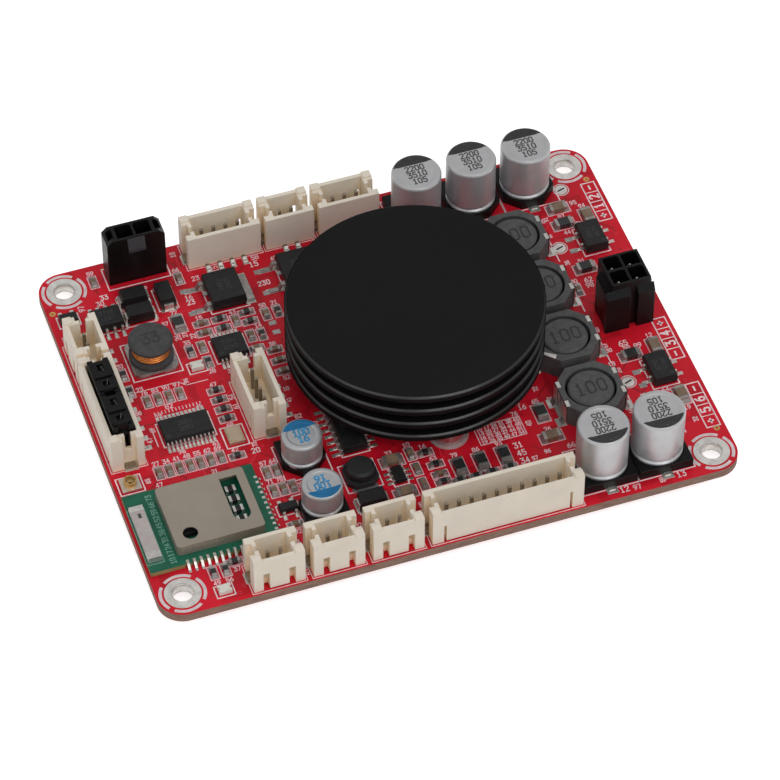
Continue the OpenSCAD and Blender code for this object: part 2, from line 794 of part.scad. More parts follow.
module small_inductor() {
    h = small_coil_w / 2;
    c = small_coil_corner;
    r = h - small_coil_inset;
    e = small_coil_edge;
    rise = small_coil_h - small_coil_foot;
    color(black) translate([small_coil[0], small_coil[1], top]) {
        linear_extrude(small_coil_foot) polygon([[c - h, -h], [h - c, -h], [h, c - h], [h, h - c],
            [h - c, h], [c - h, h], [-h, h - c], [-h, c - h]]);
        translate([0, 0, small_coil_foot]) rotate_extrude()
            polygon([[0, 0], [r, 0], [r + e, e], [r + e, rise - e], [r, rise], [0, rise]]);
    }
}

// Radio module on its own board

module radio_board() {
    color([0.05, 0.42, 0.3]) difference() {
        translate([radio_x, radio_y, top]) block([radio_w, radio_d, radio_t]);
        // Half round plated notches along the front edge
        for (i = [0:radio_pad_count - 1])
            translate([radio_pad_start + i * radio_pad_pitch, radio_y - radio_d / 2, top - 1])
                cylinder(d = radio_pad_d, h = radio_t + 2);
    }
}

module radio_shield() {
    inner_w = shield_w - 2 * shield_wall;
    inner_d = shield_d - 2 * shield_wall;
    color([0.66, 0.62, 0.57]) translate([shield_x, shield_y, top + radio_t]) difference() {
        rounded_plate(shield_w, shield_d, shield_h, shield_corner);
        translate([0, 0, -1])
            rounded_plate(inner_w, inner_d, 1 + shield_h - shield_wall, shield_corner - shield_wall);
        // Round hole, and a slot with one round end over the chips
        translate([shield_hole[0], shield_hole[1], shield_h / 2]) cylinder(d = shield_hole_d, h = shield_h);
        translate([shield_slot_x, shield_slot_y + (shield_slot_w - shield_slot_l) / 2, shield_h / 2]) {
            cylinder(d = shield_slot_w, h = shield_h);
            translate([-shield_slot_w / 2, 0, 0])
                cube([shield_slot_w, shield_slot_l - shield_slot_w / 2, shield_h]);
        }
    }
}

module radio_antenna() {
    color([0.86, 0.86, 0.86]) translate([antenna_x, antenna_y, top + radio_t]) block(antenna_size);
}

module radio_chips() {
    color(black) translate([shield_x, shield_y, top + radio_t]) {
        translate([radio_chip_x, 0, 0]) block(radio_chip);
        for (y = slot_chip_ys) translate([shield_slot_x, y, 0]) block(slot_chip);
    }
}

module antenna_socket() {
    color([0.8, 0.66, 0.35]) translate([coax[0], coax[1], top]) {
        block(coax_base);
        difference() {
            cylinder(d = coax_d, h = coax_h);
            translate([0, 0, coax_base[2]]) cylinder(d = coax_d - 2 * coax_wall, h = coax_h);
        }
        cylinder(d = coax_pin_d, h = coax_pin_h);
    }
}

// Packages with bent leads

// Moulded body with drafted sides and a straight band where the leads come out
module package_section(w, h) {
    mid = (h + package_stand) / 2;
    d = package_draft;
    polygon([[d - w / 2, package_stand], [w / 2 - d, package_stand], [w / 2, mid - lead_t / 2],
        [w / 2, mid + lead_t / 2], [w / 2 - d, h], [d - w / 2, h],
        [-w / 2, mid + lead_t / 2], [-w / 2, mid - lead_t / 2]]);
}

module package(l, w, h) {
    intersection() {
        translate([-l / 2, 0, 0]) rotate([90, 0, 90]) linear_extrude(l) package_section(w, h);
        translate([0, w / 2, 0]) rotate([90, 0, 0]) linear_extrude(w) package_section(l, h);
    }
}

// Bent lead that leaves a body's band at the origin towards +Y
module lead(h, reach, w) {
    rise = (h + package_stand) / 2 - lead_t / 2;
    translate([-w / 2, 0, 0]) rotate([90, 0, 90]) linear_extrude(w)
        polygon([[0, rise], [0.2 * reach, rise], [0.4 * reach, 0], [reach, 0], [reach, lead_t],
            [0.4 * reach + lead_t, lead_t], [0.2 * reach + lead_t, rise + lead_t], [0, rise + lead_t]]);
}

module at_package(p) {
    translate([p[0], p[1], top]) rotate(p[2]) children();
}

module chip_packages() {
    color(black) for (p = packages) at_package(p) package(p[3], p[4], p[5]);
}

module lead_row(count, pitch, w, h, reach, width) {
    for (i = [0:count - 1], side = [0, 180]) rotate(side)
        translate([(i - (count - 1) / 2) * pitch, w / 2, 0]) lead(h, reach, width);
}

module chip_leads() {
    color(tin) {
        for (p = packages) at_package(p)
            lead_row(p[6], p[7], p[4], p[5], p[8], p[7] < 1 ? fine_lead_w : lead_w);
        translate([sink_x, sink_y, top]) rotate(90) 
            lead_row(amp_leads, amp_lead_pitch, amp_w, amp_h, amp_lead_reach, lead_w);
        for (d = diode_places, side = [0, 180]) translate([d[0], d[1], top]) rotate(d[2] + side)
            translate([diode_l / 2, 0, 0]) rotate(-90) lead(diode_h, diode_strap_reach, diode_strap_w);
    }
}

module diodes() {
    color(black) for (d = diode_places) translate([d[0], d[1], top]) rotate(d[2])
        package(diode_l, diode_w, diode_h);
}

module regulators() {
    color(black) for (p = regulator_places) translate([p[0], p[1], top]) rotate(90)
        package(regulator_l, regulator_w, regulator_h);
}

module regulator_tabs() {
    color(tin) for (p = regulator_places) translate([p[0], p[1], top]) {
        translate([(regulator_w + regulator_tab[0]) / 2, 0, 0]) block(regulator_tab);
        translate([-regulator_w / 2, 0, 0]) {
            for (s = [-1, 1]) translate([0, s * regulator_pitch / 2, 0]) rotate(90)
                lead(regulator_h, regulator_lead_reach, regulator_lead_w);
            // Cut-off middle lead
            translate([-regulator_stub / 2, 0, (regulator_h + package_stand - lead_t) / 2])
                block([regulator_stub, regulator_lead_w, lead_t]);
        }
    }
}

// Chip components: a body between two tinned ends

module at_rows(rows) {
    for (r = rows, i = [0:r[2] - 1])
        translate([r[0] + i * r[3], r[1] + i * r[4], top]) rotate(r[5]) children();
}

module at_places(places) {
    for (p = places) translate([p[0], p[1], top]) rotate(p[2]) children();
}

module chip_body(size, end) {
    block([size[0] - 2 * end, size[1], size[2]]);
}

module chip_end_pair(size, end) {
    for (s = [-1, 1]) translate([s * (size[0] - end) / 2, 0, 0]) block([end, size[1], size[2]]);
}

module chip_capacitors() {
    color([0.55, 0.45, 0.36]) {
        at_rows(capacitor_rows) chip_body(small_chip, small_end);
        at_places(large_capacitors) chip_body(large_chip, large_end);
    }
}

module chip_resistors() {
    color(black) {
        at_rows(resistor_rows) chip_body(small_chip, small_end);
        at_places(large_resistors) chip_body(large_chip, large_end);
    }
}

module chip_ends() {
    color(tin) {
        at_rows(capacitor_rows) chip_end_pair(small_chip, small_end);
        at_rows(resistor_rows) chip_end_pair(small_chip, small_end);
        at_places(large_capacitors) chip_end_pair(large_chip, large_end);
        at_places(large_resistors) chip_end_pair(large_chip, large_end);
    }
}

module indicator_leds() {
    color([0.93, 0.93, 0.9]) for (p = led_places) translate([p[0], p[1], top]) difference() {
        block(led_size);
        for (s = [-1, 1]) translate([s * led_size[0] / 2, 0, -1])
            cylinder(d = led_notch_d, h = led_size[2] + 2, $fn = 16);
    }
}

module crystal() {
    color([0.72, 0.65, 0.5]) translate([crystal_place[0], crystal_place[1], top]) {
        block(crystal_size);
        translate([0, 0, crystal_size[2]])
            rounded_plate(crystal_lid[0], crystal_lid[1], crystal_lid[2], crystal_corner);
    }
}

circuit_board();
hole_lands();
heatsink();
heatsink_spacers();
heatsink_screws();
thermal_pad();
amplifier_chip();
front_socket_1();
front_socket_2();
front_socket_3();
front_socket_wide();
rear_socket_1();
rear_socket_2();
rear_socket_3();
side_socket_small();
side_socket_large();
inner_socket();
front_contacts();
rear_contacts();
side_contacts();
power_header();
power_pins();
speaker_header();
speaker_pins();
jumper_plugs();
capacitor_can_1();
capacitor_can_2();
capacitor_can_3();
capacitor_can_4();
capacitor_can_5();
small_can_1();
small_can_2();
capacitor_bases();
capacitor_tabs();
output_inductor_1();
output_inductor_2();
output_inductor_3();
output_inductor_4();
inductor_drums();
inductor_terminals();
power_inductor_core();
power_inductor_winding();
power_inductor_base();
small_inductor();
radio_board();
radio_shield();
radio_antenna();
radio_chips();
antenna_socket();
regulators();
regulator_tabs();
chip_packages();
chip_leads();
diodes();
chip_capacitors();
chip_resistors();
chip_ends();
indicator_leds();
crystal();
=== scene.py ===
"""Looks of the amplifier board: finishes, board print, pads, solder, marks, stage, light and camera."""

import functools
import json
import math
import random

import bmesh
import bpy
import numpy as np
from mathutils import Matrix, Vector


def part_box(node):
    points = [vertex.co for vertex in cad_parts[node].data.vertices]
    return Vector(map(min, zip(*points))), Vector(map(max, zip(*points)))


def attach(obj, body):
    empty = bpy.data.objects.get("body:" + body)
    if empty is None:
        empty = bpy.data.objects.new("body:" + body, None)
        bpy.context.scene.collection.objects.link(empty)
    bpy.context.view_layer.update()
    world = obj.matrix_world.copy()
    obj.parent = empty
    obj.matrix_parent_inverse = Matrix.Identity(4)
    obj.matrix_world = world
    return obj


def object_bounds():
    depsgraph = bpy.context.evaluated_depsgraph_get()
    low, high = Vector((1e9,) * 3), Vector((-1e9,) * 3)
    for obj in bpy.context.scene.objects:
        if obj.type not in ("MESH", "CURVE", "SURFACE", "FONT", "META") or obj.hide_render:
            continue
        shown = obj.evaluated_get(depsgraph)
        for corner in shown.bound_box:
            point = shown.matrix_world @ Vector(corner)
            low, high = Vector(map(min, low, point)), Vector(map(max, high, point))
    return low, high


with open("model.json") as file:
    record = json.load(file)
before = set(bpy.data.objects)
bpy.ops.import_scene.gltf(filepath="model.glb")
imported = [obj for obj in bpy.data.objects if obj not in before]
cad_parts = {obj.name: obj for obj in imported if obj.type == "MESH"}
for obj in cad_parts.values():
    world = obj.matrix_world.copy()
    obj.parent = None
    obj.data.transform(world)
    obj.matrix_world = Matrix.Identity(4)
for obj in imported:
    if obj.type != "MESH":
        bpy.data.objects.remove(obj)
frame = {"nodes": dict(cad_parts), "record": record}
start_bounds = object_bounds()
NODES = frame["nodes"]
MM = 0.001
TINY = 1e-6
rng = random.Random(7)


def box(node):
    """Lowest and highest corner of a CAD node in millimetres."""
    lo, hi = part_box(node)
    return np.array(lo) / MM, np.array(hi) / MM


@functools.cache
def solids(node):
    """Lowest corner, highest corner and points, in millimetres, of each separate solid in a CAD node."""
    mesh = NODES[node].data
    co = np.array([v.co for v in mesh.vertices]) / MM
    keys = {}
    ids = [keys.setdefault(tuple(np.round(p, 3)), len(keys)) for p in co]
    parent = list(range(len(keys)))

    def root(i):
        while parent[i] != i:
            parent[i] = parent[parent[i]]
            i = parent[i]
        return i

    for poly in mesh.polygons:
        first = root(ids[poly.vertices[0]])
        for v in poly.vertices[1:]:
            parent[root(ids[v])] = first
    groups = {}
    for key, i in keys.items():
        groups.setdefault(root(i), []).append(key)
    return [(np.min(g, 0), np.max(g, 0), np.array(g)) for g in groups.values()]


# The board's edges and top, and its mounting holes with their lands
EDGE_X, EDGE_Y, TOP = box("circuit_board")[1]
HOLES = [(lo + hi)[:2] / 2 for lo, hi, _ in solids("hole_lands")]
LAND_LO, LAND_HI, LAND_POINTS = solids("hole_lands")[0]
LAND_R = (LAND_HI[0] - LAND_LO[0]) / 2
HOLE_R = np.linalg.norm(LAND_POINTS[:, :2] - HOLES[0], axis=1).min()
LAND_TOP = LAND_HI[2]


# Finishes, each made of shader nodes

NOISE_LO, NOISE_HI, NOISE_ROUGH = 0.3, 0.7, 0.55
FINE_DETAIL = 2.0
ROUGH_GRAIN = 2.3
BUMP_DEPTH = 0.00002
FLAT_SLOPE = 0.5


class Shader:
    """A material's node tree with short calls for the nodes used here."""

    def __init__(self, name):
        self.mat = bpy.data.materials.new(name)
        self.mat.use_nodes = True
        self.tree = self.mat.node_tree
        self.bsdf = self.tree.nodes["Principled BSDF"]
        self.coord = self.node("ShaderNodeTexCoord", {}, "Object")

    def node(self, kind, inputs, output=0, **settings):
        """Adds a node with its settings and inputs, and returns one of its outputs."""
        n = self.tree.nodes.new(kind)
        for k, v in settings.items():
            setattr(n, k, v)
        for k, v in inputs.items():
            self.put(n.inputs[k], v)
        return n.outputs[output]

    def put(self, socket, value):
        if isinstance(value, bpy.types.NodeSocket):
            self.tree.links.new(value, socket)
        else:
            socket.default_value = value

    def set(self, name, value):
        """Gives an input of the surface a number, a colour or the output of a node."""
        self.put(self.bsdf.inputs[name], value)

    def noise(self, scale, detail=3.0, stretch=None):
        vec = self.coord
        if stretch:
            vec = self.node("ShaderNodeMapping", {"Vector": vec, "Scale": stretch})
        inputs = {"Vector": vec, "Scale": scale, "Detail": detail, "Roughness": NOISE_ROUGH}
        return self.node("ShaderNodeTexNoise", inputs)

    def remap(self, value, lo, hi, a=0.0, b=1.0):
        return self.node("ShaderNodeMapRange", dict(enumerate((value, lo, hi, a, b))), clamp=True)

    def mix(self, factor, a, b):
        a, b = (c if isinstance(c, bpy.types.NodeSocket) else (*c, 1) for c in (a, b))
        return self.node("ShaderNodeMix", {0: factor, 6: a, 7: b}, 2, data_type="RGBA", blend_type="MIX")

    def vary(self, scale, a, b):
        """A number that noise moves between two values."""
        return self.remap(self.noise(scale), NOISE_LO, NOISE_HI, a, b)

    def mottle(self, scale, a, b, stretch=None):
        """A colour that noise moves between two colours."""
        return self.mix(self.remap(self.noise(scale, stretch=stretch), NOISE_LO, NOISE_HI), a, b)

    def math(self, op, a, b=0.0):
        return self.node("ShaderNodeMath", {0: a, 1: b}, operation=op)

    def axis(self, vector, index):
        return self.node("ShaderNodeSeparateXYZ", {0: vector}, index)

    def upright(self):
        """How far a face points up or down: 1 on a level face, 0 on a wall."""
        return self.math("ABSOLUTE", self.axis(self.node("ShaderNodeNewGeometry", {}, "True Normal"), 2))

    def bump(self, height, strength, distance=BUMP_DEPTH, normal=None):
        inputs = {"Height": height, "Strength": strength, "Distance": distance}
        if normal is not None:
            inputs["Normal"] = normal
        return self.node("ShaderNodeBump", inputs)

    def grain_bump(self, scale, strength, bevel=0.0):
        """A fine bump over the surface, with edges softened by a bevel in millimetres."""
        edge = self.bevel(bevel * MM) if bevel else None
        self.set("Normal", self.bump(self.noise(scale, FINE_DETAIL), strength, normal=edge))

    def bevel(self, radius):
        return self.node("ShaderNodeBevel", {"Radius": radius}, samples=6)

    def occlusion(self, distance):
        return self.node("ShaderNodeAmbientOcclusion", {"Distance": distance}, "AO", samples=8)


def finish(name, color, rough, metal=0.0, spec=0.5, vary=0.1, grain=500.0, bump=0.15, bump_grain=4000.0,
           bevel=0.0, rough_vary=0.08, painted_glow=None):
    """A surface with noise in its colour and roughness, a fine bump and softened edges, and where asked a
    painted warm light in its hollows.
    """
    s = Shader(name)
    dark = tuple(c * (1 - vary) for c in color)
    light = tuple(min(1.0, c * (1 + vary)) for c in color)
    base = s.mottle(grain, dark, light)
    if painted_glow:
        warm, reach, full, none = painted_glow
        # Painted light: where the occlusion finds a hollow, the colour turns brighter and warmer
        base = s.mix(s.remap(s.occlusion(reach), full, none, 1.0, 0.0), base, warm)
    s.set("Base Color", base)
    s.set("Roughness", s.vary(grain * ROUGH_GRAIN, rough - rough_vary, rough + rough_vary))
    s.set("Metallic", metal)
    s.set("Specular IOR Level", spec)
    s.grain_bump(bump_grain, bump, bevel)
    return s.mat


def board_finish():
    """Red mask over copper areas, a little darker between them, and the bare fibre of the edges."""
    red_low, red_high, red_gap = (0.52, 0.0066, 0.018), (0.68, 0.0105, 0.027), (0.20, 0.002, 0.007)
    fibre_low, fibre_high = (0.20, 0.115, 0.090), (0.31, 0.20, 0.155)
    fibre_rough, mask_rough, gap_share = 0.75, 0.36, 0.32
    s = Shader("board_red")
    areas = {"Vector": s.coord, "Scale": 210, "Randomness": 0.85}
    cells = s.node("ShaderNodeTexVoronoi", areas, "Distance", distance="CHEBYCHEV", feature="F1")
    gap = s.remap(cells, 0.50, 0.56)
    red = s.mix(s.math("MULTIPLY", gap, gap_share), s.mottle(70, red_low, red_high), red_gap)
    fibre = s.mottle(600, fibre_low, fibre_high, stretch=(1, 1, 7))
    flat = s.math("GREATER_THAN", s.upright(), FLAT_SLOPE)
    s.set("Base Color", s.mix(flat, fibre, red))
    s.set("Roughness", s.mix(flat, (fibre_rough,) * 3, (mask_rough,) * 3))
    s.set("Specular IOR Level", 0.2)
    s.set("Normal", s.bump(gap, 0.25, 1.5 * BUMP_DEPTH))
    return s.mat


def heatsink_finish():
    """Black anodised metal; its broken edges are smoother and metallic, and painted a little lighter as a
    painted highlight line.
    """
    black_low, black_high, edge_highlight_grey = (0.0036, 0.0034, 0.0036), (0.0050, 0.0047, 0.0049), (0.06, 0.059, 0.06)
    edge_slopes, edge_polish, edge_tint, edge_bevel = (0.3, 0.95), 0.24, 0.12, 0.4
    s = Shader("heatsink_black")
    slope = s.upright()
    edge = s.math("MULTIPLY", s.math("GREATER_THAN", slope, edge_slopes[0]),
                  s.math("LESS_THAN", slope, edge_slopes[1]))
    # Painted highlight: the chamfered edges get a lighter grey base colour, broken up a little by noise
    painted_edge_highlight = s.math("MULTIPLY", edge, s.remap(s.noise(500), 0.2, 0.6, 0.8, 1.0))
    s.set("Base Color", s.mix(painted_edge_highlight, s.mottle(60, black_low, black_high), edge_highlight_grey))
    s.set("Roughness", s.math("SUBTRACT", s.vary(900, 0.44, 0.54), s.math("MULTIPLY", edge, edge_polish)))
    s.set("Metallic", edge)
    s.set("Specular Tint", s.mix(edge, (1.0,) * 3, (edge_tint,) * 3))
    s.set("Specular IOR Level", 0.14)
    s.grain_bump(7000, 0.08, edge_bevel)
    return s.mat


def radio_finish():
    """Green mask with its mottled copper, and the tan fibre of the cut edges."""
    green_low, green_high = (0.004, 0.085, 0.047), (0.006, 0.14, 0.078)
    fibre_low, fibre_high = (0.20, 0.17, 0.07), (0.32, 0.26, 0.11)
    s = Shader("radio_green")
    flat = s.math("GREATER_THAN", s.upright(), FLAT_SLOPE)
    green, fibre = s.mottle(350, green_low, green_high), s.mottle(600, fibre_low, fibre_high)
    s.set("Base Color", s.mix(flat, fibre, green))
    s.set("Roughness", s.vary(800, 0.28, 0.42))
    s.set("Specular IOR Level", 0.35)
    s.grain_bump(2500, 0.15)
    return s.mat


def coax_finish():
    """Gold ring and pin on a tinned foot plate, told apart by height."""
    gold_low, gold_high = (0.52, 0.32, 0.11), (0.70, 0.45, 0.17)
    tin_low, tin_high = (0.56, 0.53, 0.48), (0.74, 0.70, 0.64)
    foot_lo, foot_hi = TOP + 0.36, TOP + 0.4
    s = Shader("coax_gold")
    foot = s.remap(s.axis(s.coord, 2), foot_lo * MM, foot_hi * MM, 1.0, 0.0)
    s.set("Base Color", s.mix(foot, s.mottle(900, gold_low, gold_high), s.mottle(1100, tin_low, tin_high)))
    s.set("Roughness", s.vary(700, 0.28, 0.42))
    s.set("Metallic", 0.75)
    s.grain_bump(3000, 0.2, 0.05)
    return s.mat


# Painted warm light inside a socket, an occlusion tint that makes its hollows brighter and warmer: colour,
# reach in metres, and the shade at which it is full and none
CREAM_PAINTED_GLOW = ((0.95, 0.79, 0.57), 0.003, 0.35, 0.7)
TIN = dict(rough=0.34, metal=0.85, vary=0.2, grain=900, bump=0.35, bump_grain=2500, bevel=0.06)
FERRITE = dict(rough=0.62, spec=0.3, vary=0.18, grain=900, bump=0.5, bump_grain=3500, bevel=0.12)
CAN = dict(rough=0.40, metal=0.55, vary=0.06, grain=400, bump=0.1, bevel=0.15)
PRINT = dict(rough=0.6, spec=0.3, vary=0.2, grain=1600, bump=0.3, bump_grain=5000)
COVERED = dict(rough=0.36, spec=0.3, vary=0.12, grain=300, bump=0.1, bump_grain=3000)
INK = dict(rough=0.5, spec=0.4, vary=0.3, grain=1500, bump=0.2)
FINISHES = {
    "tinned": dict(TIN, color=(0.64, 0.615, 0.58)),
    "screw_steel": dict(color=(0.50, 0.50, 0.49), rough=0.3, metal=0.95, grain=700, bump_grain=3000,
        bevel=0.1),
    "pad_grey": dict(color=(0.30, 0.32, 0.36), rough=0.7),
    "package_black": dict(color=(0.0115, 0.0115, 0.0122), rough=0.46, spec=0.32, vary=0.25, grain=800,
        bump=0.35, bump_grain=5000, bevel=0.1),
    # Socket cream carries the painted warm light in its hollows
    "socket_cream": dict(color=(0.76, 0.685, 0.58), rough=0.5, spec=0.3, vary=0.04, grain=250, bump=0.10,
        bump_grain=3000, bevel=0.12, painted_glow=CREAM_PAINTED_GLOW),
    "header_black": dict(color=(0.0042, 0.0038, 0.0040), rough=0.38, spec=0.2, vary=0.2, bump=0.2,
        bevel=0.22),
    "can_aluminium": dict(CAN, color=(0.50, 0.50, 0.51)),
    "ferrite": dict(FERRITE, color=(0.082, 0.082, 0.083)),
    "copper": dict(color=(0.72, 0.28, 0.07), rough=0.3, metal=0.8, vary=0.15, grain=1200, bump=0.2),
    "shield_metal": dict(color=(0.365, 0.315, 0.26), rough=0.44, metal=0.6, spec=0.4, vary=0.07, grain=120,
        bump=0.12, bump_grain=1200, bevel=0.12),
    "antenna_ceramic": dict(color=(0.43, 0.385, 0.37), rough=0.4, spec=0.4, vary=0.08, grain=600, bump=0.1,
        bump_grain=3000, bevel=0.08),
    "gold": dict(color=(0.66, 0.42, 0.14), rough=0.3, metal=0.9, vary=0.15, grain=900, bump=0.2,
        bump_grain=3000, bevel=0.05),
    "capacitor_tan": dict(color=(0.19, 0.13, 0.085), rough=0.5, spec=0.4, vary=0.25, grain=700, bump=0.2,
        bevel=0.06),
    "resistor_black": dict(color=(0.02, 0.021, 0.022), rough=0.35, spec=0.45, vary=0.3, grain=900, bump=0.2,
        bevel=0.06),
    "led_white": dict(color=(0.68, 0.67, 0.61), rough=0.3, grain=900, bump=0.1, bump_grain=3000,
        bevel=0.06),
    "crystal_metal": dict(color=(0.52, 0.41, 0.30), rough=0.38, metal=0.6, grain=600, bump_grain=3000,
        bevel=0.08),
    "silk": dict(PRINT, color=(0.84, 0.67, 0.69)),
    "pink_silk": dict(PRINT, color=(0.78, 0.52, 0.55)),
    "silk_ring": dict(PRINT, color=(0.66, 0.56, 0.58), vary=0.14, grain=1200),
    "trace": dict(COVERED, color=(0.68, 0.014, 0.034)),
    "dark_trace": dict(COVERED, color=(0.38, 0.005, 0.014)),
    "dark_ink": dict(INK, color=(0.026, 0.026, 0.028), vary=0.2, grain=900),
    "grey_ink": dict(INK, color=(0.06, 0.06, 0.064)),
    "faint_ink": dict(INK, color=(0.032, 0.032, 0.034)),
    "blue_ink": dict(INK, color=(0.004, 0.13, 0.30), rough=0.45, vary=0.12, grain=500, bump=0.1),
    "pale_blue_ink": dict(INK, color=(0.05, 0.24, 0.44), bump=0.1),
    "pale_green": dict(INK, color=(0.14, 0.33, 0.26), vary=0.25),
    "coil_ferrite": dict(FERRITE, color=(0.056, 0.056, 0.058), rough=0.6),
    "dark_ferrite": dict(FERRITE, color=(0.020, 0.020, 0.021), rough=0.5, vary=0.2, bump=0.4, bevel=0.15),
    "land_tin": dict(TIN, color=(0.76, 0.735, 0.70), metal=0.8, vary=0.16, bump=0.3),
    "small_can": dict(CAN, color=(0.47, 0.475, 0.485), metal=0.6),
    "solder": dict(TIN, color=(0.37, 0.35, 0.335), rough=0.36, metal=0.75, vary=0.25, bevel=0.05),
    # Painted reflection: the latch face is a lighter grey than the black header
    "latch_painted_sheen": dict(color=(0.042, 0.042, 0.047), rough=0.4, spec=0.4, vary=0.06, grain=900, bump=0.2),
    "rose_tin": dict(color=(0.56, 0.38, 0.38), rough=0.5, metal=0.3, spec=0.4, bump=0.1, bump_grain=3000),
    # Painted shade and painted reflection: the socket contacts are tin made darker and browner, as they look
    # deep in the cream sockets
    "contact": dict(TIN, color=(0.30, 0.25, 0.195), rough=0.36, metal=0.8, bump=0.2, bevel=0.05),
    # Painted shade: near black, laid where a hole or slot opens
    "painted_hole_shade": dict(color=(0.02, 0.015, 0.014), rough=0.7),
}
M = {name: finish(name, **values) for name, values in FINISHES.items()}
M.update(board_red=board_finish(), heatsink_black=heatsink_finish(), radio_green=radio_finish(),
         coax_gold=coax_finish())

# CAD nodes whose finish isn't the one that their slot is named after
CONTACTS = ("front_contacts", "rear_contacts", "side_contacts")
OWN_FINISH = {
    "small_inductor": "dark_ferrite", "power_inductor_core": "coil_ferrite", "antenna_socket": "coax_gold",
    "hole_lands": "land_tin", "small_can_1": "small_can", "small_can_2": "small_can", "chip_ends": "solder",
    "regulator_tabs": "solder", "power_inductor_base": "solder", **dict.fromkeys(CONTACTS, "contact"),
}
slot_of = {p["node"]: p["material_slot"] for p in frame["record"]["subparts"]}
for name, obj in NODES.items():
    obj.data.materials.clear()
    obj.data.materials.append(M[OWN_FINISH.get(name, slot_of[name])])


# Mesh pieces

# Heights of what lies on the board, steps where pads overlap, widths of the print
SUNK = 0.01
Z0 = TOP - SUNK
ZPAD, ZSILK, ZTRACE = TOP + 0.04, TOP + 0.025, TOP + 0.012
LEAD_STEP, SQUARE_STEP, RADIO_STEP = 0.006, 0.012, 0.02
SILK_W, FINE_W = 0.2, 0.16
# Strokes and traces that cross differ in height, so that no two of their faces share a plane
STROKE_STEP, STROKE_LAYERS = 0.0015, 4
TRACE_STEP, TRACE_LAYERS = 0.0003, 40
FULL_TURN = 2 * math.pi


class Piece:
    """Collects closed shells in millimetres and makes one mesh object of them."""

    def __init__(self):
        self.verts, self.faces = [], []

    def sweep(self, sections, closed):
        """Joins sections of equally many points, as a ring or with an end face on both ends."""
        k, n, m = len(self.verts), len(sections[0]), len(sections)
        self.verts += [p for section in sections for p in section]
        for i in range(m if closed else m - 1):
            a, b = k + i * n, k + (i + 1) % m * n
            self.faces += [(a + j, a + (j + 1) % n, b + (j + 1) % n, b + j) for j in range(n)]
        if not closed:
            self.faces += [tuple(range(k + n - 1, k - 1, -1)), tuple(range(k + (m - 1) * n, k + m * n))]

    def prism(self, outline, z0, z1):
        """A plate with the given outline."""
        self.sweep([[(x, y, z) for x, y in outline] for z in (z0, z1)], False)

    def rect(self, cx, cy, w, d, z0, z1, turn=0.0):
        c, s = math.cos(turn), math.sin(turn)
        corners = ((-w / 2, -d / 2), (w / 2, -d / 2), (w / 2, d / 2), (-w / 2, d / 2))
        self.prism([(cx + c * x - s * y, cy + s * x + c * y) for x, y in corners], z0, z1)

    def line(self, a, b, width, z0=Z0, z1=ZSILK):
        dx, dy = b[0] - a[0], b[1] - a[1]
        length = math.hypot(dx, dy)
        self.rect((a[0] + b[0]) / 2, (a[1] + b[1]) / 2, length + width, width, z0, z1, math.atan2(dy, dx))

    def frame(self, x0, y0, x1, y1, width, z0=Z0, z1=ZSILK):
        corners = ((x0, y0), (x1, y0), (x1, y1), (x0, y1))
        for i in range(4):
            self.line(corners[i], corners[(i + 1) % 4], width, z0, z1 + i % 2 * STROKE_STEP)

    def revolve(self, cx, cy, profile, turns, closed):
        """Carries a closed profile of (r, z) points, clear of the centre line, round that line."""
        self.sweep([[(cx + r * math.cos(a), cy + r * math.sin(a), z) for r, z in profile] for a in turns],
                   closed)

    def arc(self, cx, cy, r0, r1, a0, a1, z0, z1, steps=24):
        """A flat ring, or a part of one."""
        full = a1 - a0 > FULL_TURN - TINY
        turns = [a0 + (a1 - a0) * i / steps for i in range(steps if full else steps + 1)]
        self.revolve(cx, cy, ((r0, z0), (r1, z0), (r1, z1), (r0, z1)), turns, full)

    def lathe(self, cx, cy, profile, steps=32):
        self.revolve(cx, cy, profile, [FULL_TURN * i / steps for i in range(steps)], True)

    def disc(self, cx, cy, levels, steps=24):
        """A round plate; its (r, z) levels run from the underside to the top."""
        turns = [FULL_TURN * i / steps for i in range(steps)]
        self.sweep([[(cx + r * math.cos(a), cy + r * math.sin(a), z) for a in turns] for r, z in levels],
                   False)

    def wedge(self, cx, cy, out, width, length, z0, height):
        """A solder fillet from its pad up to the face it leans on; out is the unit vector away from it."""
        ox, oy = out
        px, py = -oy * width / 2, ox * width / 2
        self.sweep([[(x, y, z0), (x, y, z0 + height), (x + ox * length, y + oy * length, z0)]
                    for x, y in ((cx - px, cy - py), (cx + px, cy + py))], False)

    def make(self, name, look, slot=None, smooth=False):
        """Makes the mesh object with a finish; the slot argument is not used."""
        slot = slot or look
        mesh = bpy.data.meshes.new(name)
        mesh.from_pydata([(x * MM, y * MM, z * MM) for x, y, z in self.verts], [], self.faces)
        shells = bmesh.new()
        shells.from_mesh(mesh)
        bmesh.ops.recalc_face_normals(shells, faces=shells.faces)
        shells.to_mesh(mesh)
        shells.free()
        if smooth:
            mesh.polygons.foreach_set("use_smooth", [True] * len(mesh.polygons))
        mesh.materials.append(M[look])
        obj = bpy.data.objects.new(name, mesh)
        bpy.context.scene.collection.objects.link(obj)
        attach(obj, "root")


